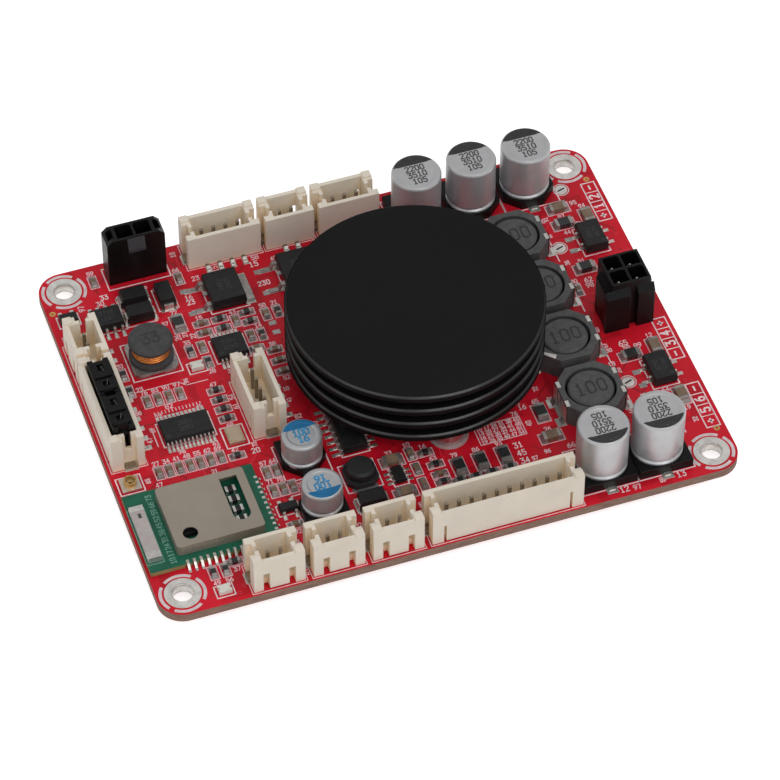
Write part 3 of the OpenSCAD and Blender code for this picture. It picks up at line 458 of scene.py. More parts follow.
# Plain numbers and signs as strokes on a field of 1 by 2
OVAL = [(0.25, 0), (0.75, 0), (1, 0.35), (1, 1.65), (0.75, 2), (0.25, 2), (0, 1.65), (0, 0.35), (0.25, 0)]
DIGITS = {
    "0": [OVAL],
    "1": [[(0.2, 1.6), (0.5, 2), (0.5, 0)], [(0.2, 0), (0.8, 0)]],
    "2": [[(0, 1.7), (0.25, 2), (0.75, 2), (1, 1.7), (1, 1.35), (0, 0), (1, 0)]],
    "3": [[(0, 2), (1, 2), (0.45, 1.2), (0.75, 1.2), (1, 0.9), (1, 0.3), (0.75, 0), (0.25, 0), (0, 0.3)]],
    "4": [[(0.75, 0), (0.75, 2), (0, 0.6), (1, 0.6)]],
    "5": [[(0.95, 2), (0.1, 2), (0.05, 1.15), (0.7, 1.2), (1, 0.9), (1, 0.3), (0.75, 0), (0.25, 0),
           (0, 0.25)]],
    "6": [[(0.8, 2), (0.3, 1.6), (0, 0.9), (0, 0.3), (0.25, 0), (0.75, 0), (1, 0.3), (1, 0.8), (0.75, 1.1),
           (0.05, 1.0)]],
    "7": [[(0, 2), (1, 2), (0.4, 0)]],
    "8": [OVAL, [(0.1, 1.05), (0.9, 1.05)]],
    "9": [[(0.2, 0), (0.7, 0.4), (1, 1.1), (1, 1.7), (0.75, 2), (0.25, 2), (0, 1.7), (0, 1.2), (0.25, 0.9),
           (0.95, 1.0)]],
    "+": [[(0, 1), (1, 1)], [(0.5, 0.5), (0.5, 1.5)]],
    "-": [[(0, 1), (1, 1)]],
}
DIGIT_STEP, DIGIT_GAP = 1.55, 0.55
QUARTER_TURN = math.pi / 2


def number(piece, word, cx, cy, height, width, z0=Z0, z1=ZSILK, turn=0.0):
    """Draws a plain number in strokes, centred on a place."""
    k = height / 2
    step = k * DIGIT_STEP
    c, s = math.cos(turn), math.sin(turn)
    left = -(len(word) * step - DIGIT_GAP * k) / 2
    for i, ch in enumerate(word):
        for stroke in DIGITS[ch]:
            pts = [(left + i * step + x * k, (y - 1) * k) for x, y in stroke]
            pts = [(cx + c * x - s * y, cy + s * x + c * y) for x, y in pts]
            for j, (a, b) in enumerate(zip(pts, pts[1:])):
                piece.line(a, b, width, z0, z1 + j % STROKE_LAYERS * STROKE_STEP)


def two_digits(i, numbers=90):
    return str(i % numbers + 10)


def parts(*nodes):
    """Middle, size, lowest and highest corner of each solid in some CAD nodes."""
    return [((lo + hi) / 2, hi - lo, lo, hi) for node in nodes for lo, hi, _ in solids(node)]


def span(x, y, hx, hy=None):
    """The edges of a rectangle or a square about a place."""
    hy = hx if hy is None else hy
    return x - hx, y - hy, x + hx, y + hy


def around(lo, hi, grow):
    return lo[0] - grow, lo[1] - grow, hi[0] + grow, hi[1] + grow


def swapped(along_x, length, width):
    """A length and a width as sizes along X and Y."""
    return (length, width) if along_x else (width, length)


# What lies on the board
pads, bright_pads, solder, foot_solder = Piece(), Piece(), Piece(), Piece()
silk, fine_print, rings, linings = Piece(), Piece(), Piece(), Piece()
test_pads, slots, lands, clips = Piece(), Piece(), Piece(), Piece()
vias, via_hole_shade, gold_dots = Piece(), Piece(), Piece()
traces, dark_traces = Piece(), Piece()

# Places that are taken, so that print and vias keep clear of them
taken = []
EDGE_MARGIN = 0.4
LABEL_PITCH, LABEL_ROOM = 0.78, 0.1


def keep(x0, y0, x1, y1):
    taken.append((x0, y0, x1, y1))


def is_free(x0, y0, x1, y1):
    in_x, in_y = EDGE_X - EDGE_MARGIN, EDGE_Y - EDGE_MARGIN
    if x0 < -in_x or x1 > in_x or y0 < -in_y or y1 > in_y:
        return False
    return all(x1 < a or x0 > c or y1 < b or y0 > d for a, b, c, d in taken)


def label(piece, word, x, y, height, turned=False):
    """A number on the board, only where nothing else stands or is printed."""
    w, h = LABEL_PITCH * height * len(word) + LABEL_ROOM, height + LABEL_ROOM
    here = span(x, y, *swapped(not turned, w / 2, h / 2))
    if not is_free(*here):
        return False
    number(piece, word, x, y, height, FINE_W, turn=QUARTER_TURN if turned else 0.0)
    keep(*here)
    return True


# Parts that stand on the board, and the holes
OVERHEAD = ("circuit_board", "hole_lands", "heatsink", "heatsink_screws", "thermal_pad")
STAND_MARGIN, FOOT_MAX, FLUSH = 0.15, 0.5, 0.05
RING_IN, RING_OUT = LAND_R + 0.3, LAND_R + 0.8


def keep_parts():
    for _, _, lo, hi in parts(*[node for node in NODES if node not in OVERHEAD]):
        if lo[2] < TOP + FOOT_MAX and hi[2] > TOP + FLUSH:
            keep(*around(lo, hi, STAND_MARGIN))
    for x, y in HOLES:
        keep(*span(x, y, RING_OUT))


# Pads of leads, contacts and can tabs
LEAD_FOOT, LEAD_ALONG, LEAD_ACROSS = 0.3, 1.1, 0.2
POST_H, FOOT_PAST, FOOT_PAD, END_TAB_GROW = 2, 0.1, (1.6, 0.9), (0.6, 0.5)
FILLET_BACK, FILLET_W, FILLET_L, FILLET_H = 0.5, 0.62, 1.0, 0.5
CAN_TAB_GROW = (0.8, 1.2)


def lead_pads():
    """A pad under each lead of the chips and regulators that reaches the board."""
    for mid, size, lo, _ in parts("chip_leads", "regulator_tabs"):
        if lo[2] < TOP + LEAD_FOOT:
            grow = swapped(size[0] > size[1], LEAD_ALONG, LEAD_ACROSS)
            bright_pads.rect(*mid[:2], *(size[:2] + grow), Z0, ZPAD + LEAD_STEP)


def contact_pads():
    """A pad under each end tab of the sockets, a pad and a solder fillet at the foot of each contact."""
    for lo, hi, pts in [s for node in CONTACTS for s in solids(node)]:
        mid, size = (lo + hi)[:2] / 2, hi - lo
        if size[2] < POST_H:
            bright_pads.rect(*mid, *(size[:2] + END_TAB_GROW), Z0, ZPAD)
            continue
        post = pts[pts[:, 2] > TOP + POST_H][:, :2].mean(0)
        reach = np.linalg.norm(mid - post)
        away = (mid - post) / max(reach, TINY)
        end = post + away * (2 * reach + FOOT_PAST)
        bright_pads.rect(*end, *swapped(abs(away[0]) > abs(away[1]), *FOOT_PAD), Z0, ZPAD)
        foot_solder.wedge(*(end - FILLET_BACK * away), tuple(away), FILLET_W, FILLET_L, TOP, FILLET_H)


def can_pads():
    for mid, size, _, _ in parts("capacitor_tabs"):
        bright_pads.rect(*mid[:2], *(size[:2] + CAN_TAB_GROW), Z0, ZPAD)


# Chip components
END_ACROSS, END_ALONG = 0.1, 0.6
CHIP_PAD_BACK, CHIP_PAD_GROW, CHIP_FRAME_GROW = 0.1, (0.5, 0.25), (0.5, 0.28)
CHIP_FILLET_W, CHIP_FILLET_L, CHIP_FILLET_LIFT, CHIP_FILLET_H = 0.92, 0.28, 0.02, 0.62
CHIP_NUMBER_H, NUMBER_GAP, NUMBER_SIDE_GAP = 0.75, 0.65, 0.9
FIRST_NUMBER, NUMBER_STEP, NUMBER_SPAN = 17, 7, 89


def chip_length(mid, size, k):
    """Length of a chip over its two tinned ends, and the length of one end, along axis k."""
    ends = []
    for end, _, lo, hi in parts("chip_ends"):
        off = abs(end - mid)
        if off[1 - k] < END_ACROSS and off[k] < size[k] / 2 + END_ALONG:
            ends.append((lo[k], hi[k]))
    return max(hi for _, hi in ends) - min(lo for lo, _ in ends), ends[0][1] - ends[0][0]


def chip_parts():
    """Pads, solder fillets and a printed frame for each chip component; returns their places."""
    places = []
    for mid, size, _, _ in parts("chip_capacitors", "chip_resistors"):
        along_x = size[0] > size[1]
        length, end = chip_length(mid, size, 0 if along_x else 1)
        width = size[1] if along_x else size[0]
        for s in (-1, 1):
            out = np.array(swapped(along_x, s, 0))
            tip = mid[:2] + out * length / 2
            pad = tip - out * (end / 2 - CHIP_PAD_BACK)
            pads.rect(*pad, *swapped(along_x, end + CHIP_PAD_GROW[0], width + CHIP_PAD_GROW[1]), Z0, ZPAD)
            solder.wedge(*tip, tuple(out), width * CHIP_FILLET_W, CHIP_FILLET_L, TOP + CHIP_FILLET_LIFT,
                         size[2] * CHIP_FILLET_H)
        hx, hy = swapped(along_x, length / 2 + CHIP_FRAME_GROW[0], width / 2 + CHIP_FRAME_GROW[1])
        edges = span(*mid[:2], hx, hy)
        fine_print.frame(*edges, FINE_W)
        keep(*edges)
        places.append((mid, hx, hy))
    return places


def chip_numbers(places):
    """A number beside each chip component, at the first of six places that is free."""
    for i, (mid, hx, hy) in enumerate(places):
        word = two_digits(FIRST_NUMBER + NUMBER_STEP * i, NUMBER_SPAN)
        above, beside, further = hy + NUMBER_GAP, hx + NUMBER_GAP, hx + NUMBER_SIDE_GAP
        for x, y, turned in ((0, above, False), (0, -above, False), (beside, 0, True), (-beside, 0, True),
                             (further, 0, False), (-further, 0, False)):
            if label(fine_print, word, mid[0] + x, mid[1] + y, CHIP_NUMBER_H, turned):
                break


# Rings and linings of the mounting holes
RING_BREAK = 0.13
LINING = [(LAND_R, -0.03), (HOLE_R + 0.02, -0.03), (HOLE_R - 0.03, 0.02), (HOLE_R - 0.03, LAND_TOP - 0.02),
          (HOLE_R + 0.02, LAND_TOP + 0.03), (HOLE_R + 0.2, LAND_TOP + 0.01)]


def hole_trims():
    for x, y in HOLES:
        for q in range(4):
            a = q * QUARTER_TURN - QUARTER_TURN / 2 + RING_BREAK
            rings.arc(x, y, RING_IN, RING_OUT, a, a + QUARTER_TURN - 2 * RING_BREAK, Z0, ZSILK, 16)
        linings.lathe(x, y, LINING, 40)


# Bare pads and lands; their places are in millimetres from the middle of the mounting holes
TEST_PADS = ((35, 15.2), (39.7, 27.1), (35.1, -14.6))
TEST_R, TEST_FLAT, TEST_CROWN, TEST_ROOM = 1.0, 0.55, 0.03, 0.4
SLOT_L, SLOT_W, SLOT_H, SLOT_TURN = 1.3, 0.28, 0.045, 0.3
TEST_RING_IN, TEST_RING_OUT = 0.15, 0.32
SQUARE_PADS = ((37, 16.4), (36.9, 13.9), (37, -13.2), (37, -16), (-24.2, 25.7), (-24.2, 20.8), (-11.9, 25.9),
               (-11.9, 21.2), (-13, 14.9), (-13, 12.9), (-9.6, -21.9))
SQUARE_W, SQUARE_D, SQUARE_ROOM = 1.2, 0.9, 0.2
FIXING_HOLE_R, FIXING_LAND_GROW, FIXING_ROOM = 1.6, 0.6, 0.1
GOLD_DOTS = ((44.4, 28), (44.5, -27.7), (-45, 27.8))
GOLD_PROFILE = [(0.5, Z0), (0.5, ZPAD), (0.2, ZPAD), (0.18, Z0)]
GOLD_ROOM = 0.6


def bare_pads():
    """Round test pads with a slot, small square pads, lands of the heatsink fixings and gold dots."""
    r = TEST_R
    for x, y in TEST_PADS:
        test_pads.disc(x, y, [(r, Z0), (r, ZPAD), (r * TEST_FLAT, ZPAD + TEST_CROWN)], 28)
        # Painted shade: a dark slot across each test pad
        slots.rect(x, y, SLOT_L * r, SLOT_W, ZPAD, ZPAD + SLOT_H, SLOT_TURN)
        rings.arc(x, y, r + TEST_RING_IN, r + TEST_RING_OUT, 0, FULL_TURN, Z0, ZSILK, 24)
        keep(*span(x, y, r + TEST_ROOM))
    for x, y in SQUARE_PADS:
        pads.rect(x, y, SQUARE_W, SQUARE_D, Z0, ZPAD + SQUARE_STEP)
        keep(*span(x, y, SQUARE_W / 2 + SQUARE_ROOM, SQUARE_D / 2 + SQUARE_ROOM))
    for (x, y, _), size, _, _ in parts("heatsink_spacers"):
        outer = size[0] / 2 + FIXING_LAND_GROW
        lands.arc(x, y, FIXING_HOLE_R, outer, 0, FULL_TURN, Z0, ZPAD, 40)
        keep(*span(x, y, outer + FIXING_ROOM))
    for x, y in GOLD_DOTS:
        gold_dots.lathe(x, y, GOLD_PROFILE, 20)
        keep(*span(x, y, GOLD_ROOM))


# Printed outlines of the larger parts, with their distance
OUTLINED = (("power_header", 0.35), ("small_inductor", 0.25), ("crystal", 0.5), ("antenna_socket", 0.4),
            ("chip_packages", 0.25), ("regulators", 0.3), ("diodes", 0.25), ("capacitor_bases", 0.25),
            ("indicator_leds", 0.4), ("power_inductor_base", 0.35))
OUTLINE_ROOM = 0.1
INDUCTOR_PAD_SHARE, INDUCTOR_PAD_D = 0.8, 0.9


def part_outlines():
    """Printed outlines, and the pads at both ends of the small inductor."""
    for node, grow in OUTLINED:
        for _, _, lo, hi in parts(node):
            silk.frame(*around(lo, hi, grow), SILK_W)
            keep(*around(lo, hi, grow + OUTLINE_ROOM))
    lo, hi = box("small_inductor")
    for y in (lo[1], hi[1]):
        pads.rect((lo[0] + hi[0]) / 2, y, INDUCTOR_PAD_SHARE * (hi[0] - lo[0]), INDUCTOR_PAD_D, Z0, ZPAD)


# Clips of the output inductors
CLIP_T, CLIP_W, CLIP_FOLD = 0.15, 1.2, 0.75
CLIP_PAD_OUT, CLIP_PAD_L, CLIP_PAD_GROW, CLIP_FILLET_L, CLIP_FILLET_H = 0.6, 1.5, 0.6, 0.6, 0.7
SIDE_LINE_OUT, SIDE_LINE_IN = 1.2, 0.6
FACE_NEAR = 0.02
FOLD = ((0.0, 0.02), (0.72, 0.02), (0.66, 0.85), (0.0, 0.4))


def inductor_clips():
    """Clips with pads and solder on each end flat; a plate on one corner of the second from the front."""
    inductors = [solids("output_inductor_%d" % i)[0] for i in range(1, 5)]
    for lo, hi, pts in inductors:
        top = hi[2] + CLIP_T / 2
        flat = pts[pts[:, 0] > hi[0] - FACE_NEAR][:, 1]
        for y in (flat.min() + CLIP_W / 3, flat.max() - CLIP_W / 3):
            for x, s in ((lo[0], -1), (hi[0], 1)):
                clips.rect(x + s * CLIP_T / 2, y, CLIP_T, CLIP_W, TOP, top)
                clips.rect(x - s * (CLIP_FOLD / 2 - CLIP_T), y, CLIP_FOLD, CLIP_W, hi[2] - SUNK, top)
                bright_pads.rect(x + s * CLIP_PAD_OUT, y, CLIP_PAD_L, CLIP_W + CLIP_PAD_GROW, Z0, ZPAD)
                solder.wedge(x + s * CLIP_T, y, (s, 0), CLIP_W, CLIP_FILLET_L, TOP, CLIP_FILLET_H)
        x = hi[0] + SIDE_LINE_OUT
        silk.line((x, lo[1] + SIDE_LINE_IN), (x, hi[1] - SIDE_LINE_IN), SILK_W)
    lo, hi, pts = sorted(inductors, key=lambda s: s[0][1])[1]
    a = np.array((lo[0], pts[pts[:, 0] < lo[0] + FACE_NEAR][:, 1].min()))
    b = np.array((pts[pts[:, 1] < lo[1] + FACE_NEAR][:, 0].min(), lo[1]))
    plate = [tuple(a + (b - a) * t + inward * math.sqrt(0.5)) for t, inward in FOLD]
    clips.prism(plate, hi[2] - SUNK, hi[2] + CLIP_T / 2)
    clips.make("inductor_clips", "tinned")


# Print round the sockets, and by the long chip at the left
SOCKET_GAP = 0.25
DASHES, DASH_OUT, DASH_END = 14, 2.0, 2.5
BESIDE_OUT, BESIDE_IN = 1.1, 0.3
BOUND_LEFT, BOUND_RIGHT, BOUND_TURN, BOUND_LOW, BOUND_STEP = 4.0, 2.2, 2.2, 6.4, 1.0


def socket_frames():
    for node in [n for n in NODES if "_socket" in n and n != "antenna_socket"]:
        fine_print.frame(*around(*box(node), SOCKET_GAP), FINE_W)


def left_chip_print():
    """Dashes behind the widest chip, a line beside it and the line that bounds its part of the board."""
    lo, hi, _ = max(solids("chip_packages"), key=lambda s: s[1][0] - s[0][0])
    for i in range(DASHES):
        x = lo[0] + (hi[0] - lo[0]) * (i + 0.5) / DASHES
        fine_print.line((x, hi[1] + DASH_OUT), (x, hi[1] + DASH_END), FINE_W)
    x = lo[0] - BESIDE_OUT
    silk.line((x, lo[1] + BESIDE_IN), (x, hi[1] - BESIDE_IN), FINE_W)
    low = hi[1] + BOUND_LOW
    turn = hi[0] - BOUND_TURN
    bound = [(lo[0] - BOUND_LEFT, low + BOUND_STEP), (turn, low + BOUND_STEP), (turn + BOUND_STEP, low),
             (hi[0] + BOUND_RIGHT, low)]
    for a, b in zip(bound, bound[1:]):
        fine_print.line(a, b, FINE_W)


# Label boxes along the right edge, with signs and plain numbers
BOX_X0, BOX_X1 = EDGE_X - 2.9, EDGE_X - 0.7
LABEL_BOXES = ((18.6, 27.2, "+12-"), (-12.6, -3.8, "-34+"), (-27.2, -18.0, "+56-"))
BOX_DIGIT_H, BOX_DIGIT_W, BOX_ROOM, BOX_LINE_IN = 1.45, 0.28, 0.2, 0.1


def label_boxes():
    for y0, y1, word in LABEL_BOXES:
        silk.frame(BOX_X0, y0, BOX_X1, y1, SILK_W)
        keep(BOX_X0 - BOX_ROOM, y0 - BOX_ROOM, BOX_X1 + BOX_ROOM, y1 + BOX_ROOM)
        cell = (y1 - y0) / len(word)
        for i, ch in enumerate(word):
            number(silk, ch, (BOX_X0 + BOX_X1) / 2, y0 + cell * (i + 0.5), BOX_DIGIT_H, BOX_DIGIT_W,
                   turn=QUARTER_TURN)
        for i in range(1, len(word)):
            y = y0 + cell * i
            silk.line((BOX_X0 + BOX_LINE_IN, y), (BOX_X1 - BOX_LINE_IN, y), FINE_W)


# Table of settings printed in front of the heatsink
TABLE_X0, TABLE_Y0, TABLE_X1, TABLE_Y1 = 9.3, -19.3, 16.7, -15.6
TABLE_COLUMNS, TABLE_ROWS, TABLE_STEP_X, TABLE_STEP_Y = 6, 4, 1.2, 0.9
TABLE_IN_X, TABLE_IN_Y, TABLE_DIGIT_H = 0.75, 0.5, 0.62


def settings_table():
    for i in range(TABLE_COLUMNS):
        for j in range(TABLE_ROWS):
            x, y = TABLE_X0 + TABLE_IN_X + i * TABLE_STEP_X, TABLE_Y1 - TABLE_IN_Y - j * TABLE_STEP_Y
            number(fine_print, two_digits(i * 7 + j * 3), x, y, TABLE_DIGIT_H, FINE_W)
    fine_print.frame(TABLE_X0, TABLE_Y0, TABLE_X1, TABLE_Y1, FINE_W)
    keep(TABLE_X0, TABLE_Y0, TABLE_X1, TABLE_Y1)


# Numbers at the places where the board is printed, then spread over what is still free
BOARD_NUMBERS = (
    (14.6, -21, "31", 1), (14.6, -22.6, "45", 1), (14.6, -24.2, "34", 1), (26.8, -34.4, "12", 1),
    (36, -34.4, "13", 1), (-23.4, -9, "20", 0.9), (-21.6, -12, "44", 0.9), (20.2, -24.2, "17", 1),
    (42.4, -6.6, "53", 1), (37.2, -6.9, "65", 1), (41.3, 22.6, "18", 0.9), (36.9, 7.4, "62", 0.9),
    (-11.7, 23.4, "230", 0.9), (-23.8, 23.2, "23", 0.9), (-13.2, 20, "46", 0.9), (-19.8, 30.3, "14", 0.9),
    (-12, 27.8, "15", 1), (-36.4, 28.6, "33", 0.9))
SPREAD_TRIES, SPREAD_LAST, SPREAD_HEIGHTS, TURNED_SHARE = 7000, 240, (0.65, 0.75, 0.85), 0.4


def anywhere():
    return rng.uniform(-EDGE_X, EDGE_X), rng.uniform(-EDGE_Y, EDGE_Y)


def board_numbers():
    for x, y, word, height in BOARD_NUMBERS:
        label(silk, word, x, y, height)
    spread = 0
    for _ in range(SPREAD_TRIES):
        x, y = anywhere()
        word = str(rng.randrange(10, 99))
        if label(fine_print, word, x, y, rng.choice(SPREAD_HEIGHTS), rng.random() < TURNED_SHARE):
            spread += 1
            if spread > SPREAD_LAST:
                break


# Vias and covered traces
VIA_TRIES, VIA_LAST, VIA_SPACE, VIA_ROOM = 6000, 150, 0.3, 0.45
VIA_PROFILE = [(0.32, Z0), (0.27, ZSILK), (0.15, ZSILK), (0.13, Z0)]
VIA_HOLE = [(0.14, Z0), (0.14, ZTRACE)]
TRACE_WIDTHS, TRACE_REACH, BRIGHT_SHARE = (0.18, 0.22, 0.3), (1.2, 5.0), 0.45
TRACE_EDGE, TRACE_HOLE_GAP, EIGHTH_TURN = 1, 0.4, math.pi / 4


def board_vias():
    spots = []
    for _ in range(VIA_TRIES):
        x, y = anywhere()
        if is_free(*span(x, y, VIA_SPACE)):
            vias.lathe(x, y, VIA_PROFILE, 14)
            # Painted shade: a dark disc in the middle of each via, where its hole lies
            via_hole_shade.disc(x, y, VIA_HOLE, 10)
            keep(*span(x, y, VIA_ROOM))
            spots.append((x, y))
            if len(spots) > VIA_LAST:
                break
    return spots


def board_traces(starts):
    """Traces from each start, which run straight or at half right angles and keep off the hole rings."""
    layer = 0
    for x, y in starts:
        piece = traces if rng.random() < BRIGHT_SHARE else dark_traces
        heading = rng.randrange(8) * EIGHTH_TURN
        width = rng.choice(TRACE_WIDTHS)
        for _ in range(rng.randrange(1, 4)):
            reach = rng.uniform(*TRACE_REACH)
            nx, ny = x + reach * math.cos(heading), y + reach * math.sin(heading)
            if abs(nx) > EDGE_X - TRACE_EDGE or abs(ny) > EDGE_Y - TRACE_EDGE:
                break
            if all(math.hypot(nx - hx, ny - hy) > RING_OUT + TRACE_HOLE_GAP for hx, hy in HOLES):
                layer = (layer + 1) % TRACE_LAYERS
                piece.line((x, y), (nx, ny), width, Z0, ZTRACE + layer * TRACE_STEP)
            x, y = nx, ny
            heading += rng.choice((-1, 1)) * EIGHTH_TURN


def dress_board():
    """Everything on the board, in the order in which each kind takes its place."""
    keep_parts()
    lead_pads()
    contact_pads()
    can_pads()
    places = chip_parts()
    chip_numbers(places)
    hole_trims()
    bare_pads()
    part_outlines()
    inductor_clips()
    socket_frames()
    left_chip_print()
    label_boxes()
    settings_table()
    board_numbers()
    spots = board_vias()
    board_traces(spots + [mid[:2] for mid, _, _ in places])
    pads.make("solder_pads", "solder", "tinned")
    bright_pads.make("lead_pads", "tinned")
    foot_solder.make("foot_solder", "tinned")
    solder.make("solder_fillets", "solder", "tinned")
    lands.make("fixing_lands", "rose_tin", "tinned")
    test_pads.make("test_pads", "land_tin", "tinned")
    slots.make("pad_slots", "painted_hole_shade", "tinned")
    fine_print.make("chip_frames", "pink_silk", "board_red")
    silk.make("board_print", "silk", "board_red")
    rings.make("hole_rings", "silk_ring", "board_red")
    linings.make("hole_linings", "tinned", smooth=True)
    vias.make("board_vias", "trace", "board_red")
    traces.make("board_traces", "trace", "board_red")
    dark_traces.make("dark_traces", "dark_trace", "board_red")
    via_hole_shade.make("via_holes", "painted_hole_shade", "board_red")
    gold_dots.make("gold_vias", "gold")


dress_board()


# Marks on the cans, inductors and packages

CAN_RIM, CAN_DISH, CAN_EDGE, CAN_MARK_IN, LIFT = 0.8, 0.1, 0.4, 0.3, 0.015
MARK_ACROSS, MARK_ROWS, MARK_END = 40, 14, 0.995
LARGE_CANS = dict(kind="capacitor_can", sides=(-1, -1, 1, 1, 1), cut=1.75, height=1.05, stroke=0.21,
                  words=(("2200", 0.95), ("3510", -0.45), ("105", -1.85)))
SMALL_CANS = dict(kind="small_can", sides=(1, -1), cut=1.15, height=1.15, stroke=0.3,
                  words=(("100", 0.4), ("16", -0.95)))


def can_mark(piece, cx, cy, r, ztop, side, cut):
    """A printed segment on a can's end, beyond the line y = cut on that side, that follows its rim."""
    dish = r - CAN_RIM

    def height(q):
        if q < dish - 2 * CAN_DISH:
            return ztop - CAN_DISH + LIFT
        if q < dish:
            return ztop + (q - dish) / 2 + LIFT
        return ztop - max(q - (r - CAN_EDGE), 0.0) / 3 + LIFT

    edge = r - CAN_MARK_IN
    sections = []
    for i in range(MARK_ROWS + 1):
        y = cut + (edge - cut) * min(i / MARK_ROWS, MARK_END)
        half = math.sqrt(edge * edge - y * y)
        xs = [half * (2 * j / MARK_ACROSS - 1) for j in range(MARK_ACROSS + 1)]
        top = [(cx + x, cy + side * y, height(math.hypot(x, y))) for x in xs]
        sections.append(top + [(x, v, z - 2 * LIFT) for x, v, z in reversed(top)])
    piece.sweep(sections, False)


def can_prints(kind, sides, cut, height, stroke, words):
    """The segment and the numbers on each can of a kind; returns both pieces."""
    segments, numbers = Piece(), Piece()
    for i, side in enumerate(sides, 1):
        lo, hi = box("%s_%d" % (kind, i))
        cx, cy = (lo[0] + hi[0]) / 2, (lo[1] + hi[1]) / 2
        can_mark(segments, cx, cy, (hi[0] - lo[0]) / 2, hi[2], side, cut)
        z = hi[2] - CAN_DISH
        for word, offset in words:
            number(numbers, word, cx, cy + side * offset, height, stroke, z, z + LIFT,
                   0.0 if side > 0 else math.pi)
    return segments, numbers


large_marks, large_numbers = can_prints(**LARGE_CANS)
small_marks, small_numbers = can_prints(**SMALL_CANS)
large_marks.make("can_marks", "dark_ink", "can_aluminium")
small_marks.make("small_can_marks", "blue_ink", "can_aluminium")
large_numbers.make("can_numbers", "grey_ink", "can_aluminium")
small_numbers.make("small_can_numbers", "pale_blue_ink", "can_aluminium")

MARK_H = 0.02
MARKED_INDUCTORS = {"inductor_drums": ("100", 2.3, 0.3), "power_inductor_core": ("33", 2.0, 0.28)}


def inductor_numbers():
    digits = Piece()
    for node, (word, height, stroke) in MARKED_INDUCTORS.items():
        for mid, _, _, hi in parts(node):
            number(digits, word, *mid[:2], height, stroke, hi[2] - SUNK, hi[2] + MARK_H)
    digits.make("inductor_numbers", "dark_ink", "ferrite")


MARKED_LENGTH, TWO_ROWS_WIDTH, ROW_STEP = 4, 3, 1.2
CODE_H, CODE_W, CODE_LIFT, DOT_INSET, DOT_IN, DOT_OUT = 0.75, 0.12, 0.012, 0.75, 0.16, 0.3


def package_marks():
    """Faint plain numbers in one or two rows on each larger package, and the ring at its first lead."""
    faint = Piece()
    for mid, size, _, hi in parts("chip_packages", "regulators"):
        along_x = size[0] >= size[1]
        length, width = max(size[0], size[1]), min(size[0], size[1])
        if length < MARKED_LENGTH:
            continue
        z0, z1 = hi[2] - SUNK, hi[2] + CODE_LIFT
        rows = 2 if width > TWO_ROWS_WIDTH else 1
        for r in range(rows):
            off = ((rows - 1) / 2 - r) * ROW_STEP
            x, y = (mid[0], mid[1] + off) if along_x else (mid[0] - off, mid[1])
            number(faint, str(rng.randrange(1000, 9999)), x, y, CODE_H, CODE_W, z0, z1,
                   0.0 if along_x else QUARTER_TURN)
        along, across = DOT_INSET - length / 2, DOT_INSET - width / 2
        dx, dy = (along, across) if along_x else (-across, along)
        faint.arc(mid[0] + dx, mid[1] + dy, DOT_IN, DOT_OUT, 0, FULL_TURN, z0, z1, 16)
    faint.make("package_marks", "faint_ink", "package_black")


inductor_numbers()
package_marks()


# Radio module

RADIO_LO, RADIO_HI = box("radio_board")
ANTENNA_LO, ANTENNA_HI = box("radio_antenna")
ZMOD = RADIO_HI[2]
RADIO_PITCH, RADIO_PAD, PAD_LIFT = 1.05, 0.42, 0.03
# Sides of the module that have pads: corner, directions along and away, number of pads and first place, then
# the offset from the edge and the length of the pads on the board, of those on the module and of the solder
RADIO_SIDES = (
    ((RADIO_LO[0], RADIO_LO[1]), (1, 0), (0, -1), 10, 5.85, (0.35, 1.5), (0.45, 0.7), (0.1, 0.8)),
    ((RADIO_HI[0], RADIO_LO[1]), (0, 1), (1, 0), 11, 2.2, (0.15, 0.9), (0.25, 0.5), (0.02, 0.5)))


def radio_pads():
    """Pads on the module and on the board along two of its sides, joined by solder."""
    tin, joints = Piece(), Piece()
    for corner, along, out, count, first, outer, inner, fillet in RADIO_SIDES:
        away = np.array(out)
        outer_size, inner_size = (swapped(out[0], pad[1], RADIO_PAD) for pad in (outer, inner))
        for i in range(count):
            edge = corner + np.array(along) * (first + i * RADIO_PITCH)
            tin.rect(*(edge + away * outer[0]), *outer_size, Z0, ZPAD + RADIO_STEP)
            tin.rect(*(edge - away * inner[0]), *inner_size, ZMOD - SUNK, ZMOD + PAD_LIFT)
            joints.wedge(*(edge - away * fillet[0]), out, RADIO_PAD, fillet[1], TOP, ZMOD - TOP)
    tin.make("radio_pads", "tinned")
    joints.make("radio_solder", "tinned")


PRINT_COUNT, PRINT_IN_X, PRINT_IN_Y, PRINT_STEP, PRINT_H = 10, 3.85, 1.3, 1.4, 0.8
ANTENNA_GAP_X, ANTENNA_GAP_Y = 0.25, 0.3


def radio_print():
    """A column of numbers beside the antenna, and its printed frame."""
    ink = Piece()
    z0, z1 = ZMOD - SUNK, ZMOD + MARK_H
    for i in range(PRINT_COUNT):
        number(ink, two_digits(i * 7), RADIO_LO[0] + PRINT_IN_X, RADIO_LO[1] + PRINT_IN_Y + i * PRINT_STEP,
               PRINT_H, FINE_W, z0, z1, QUARTER_TURN)
    ink.frame(ANTENNA_LO[0] - ANTENNA_GAP_X, ANTENNA_LO[1] - ANTENNA_GAP_Y, ANTENNA_HI[0] + ANTENNA_GAP_X,
              ANTENNA_HI[1] + ANTENNA_GAP_Y, FINE_W, z0, z1)
    ink.make("radio_print", "pale_green", "radio_green")


WRAP = 0.02
FRONT_END_L, REAR_END_L = 1.3, 0.9
ANTENNA_MARK_X, ANTENNA_MARK_IN, ANTENNA_MARK_W, ANTENNA_MARK_D = 0.1, 2.0, 0.5, 0.9
SLOT_CHIP_MAX, CHIP_END_IN, CHIP_END_L = 3, 0.2, 0.44


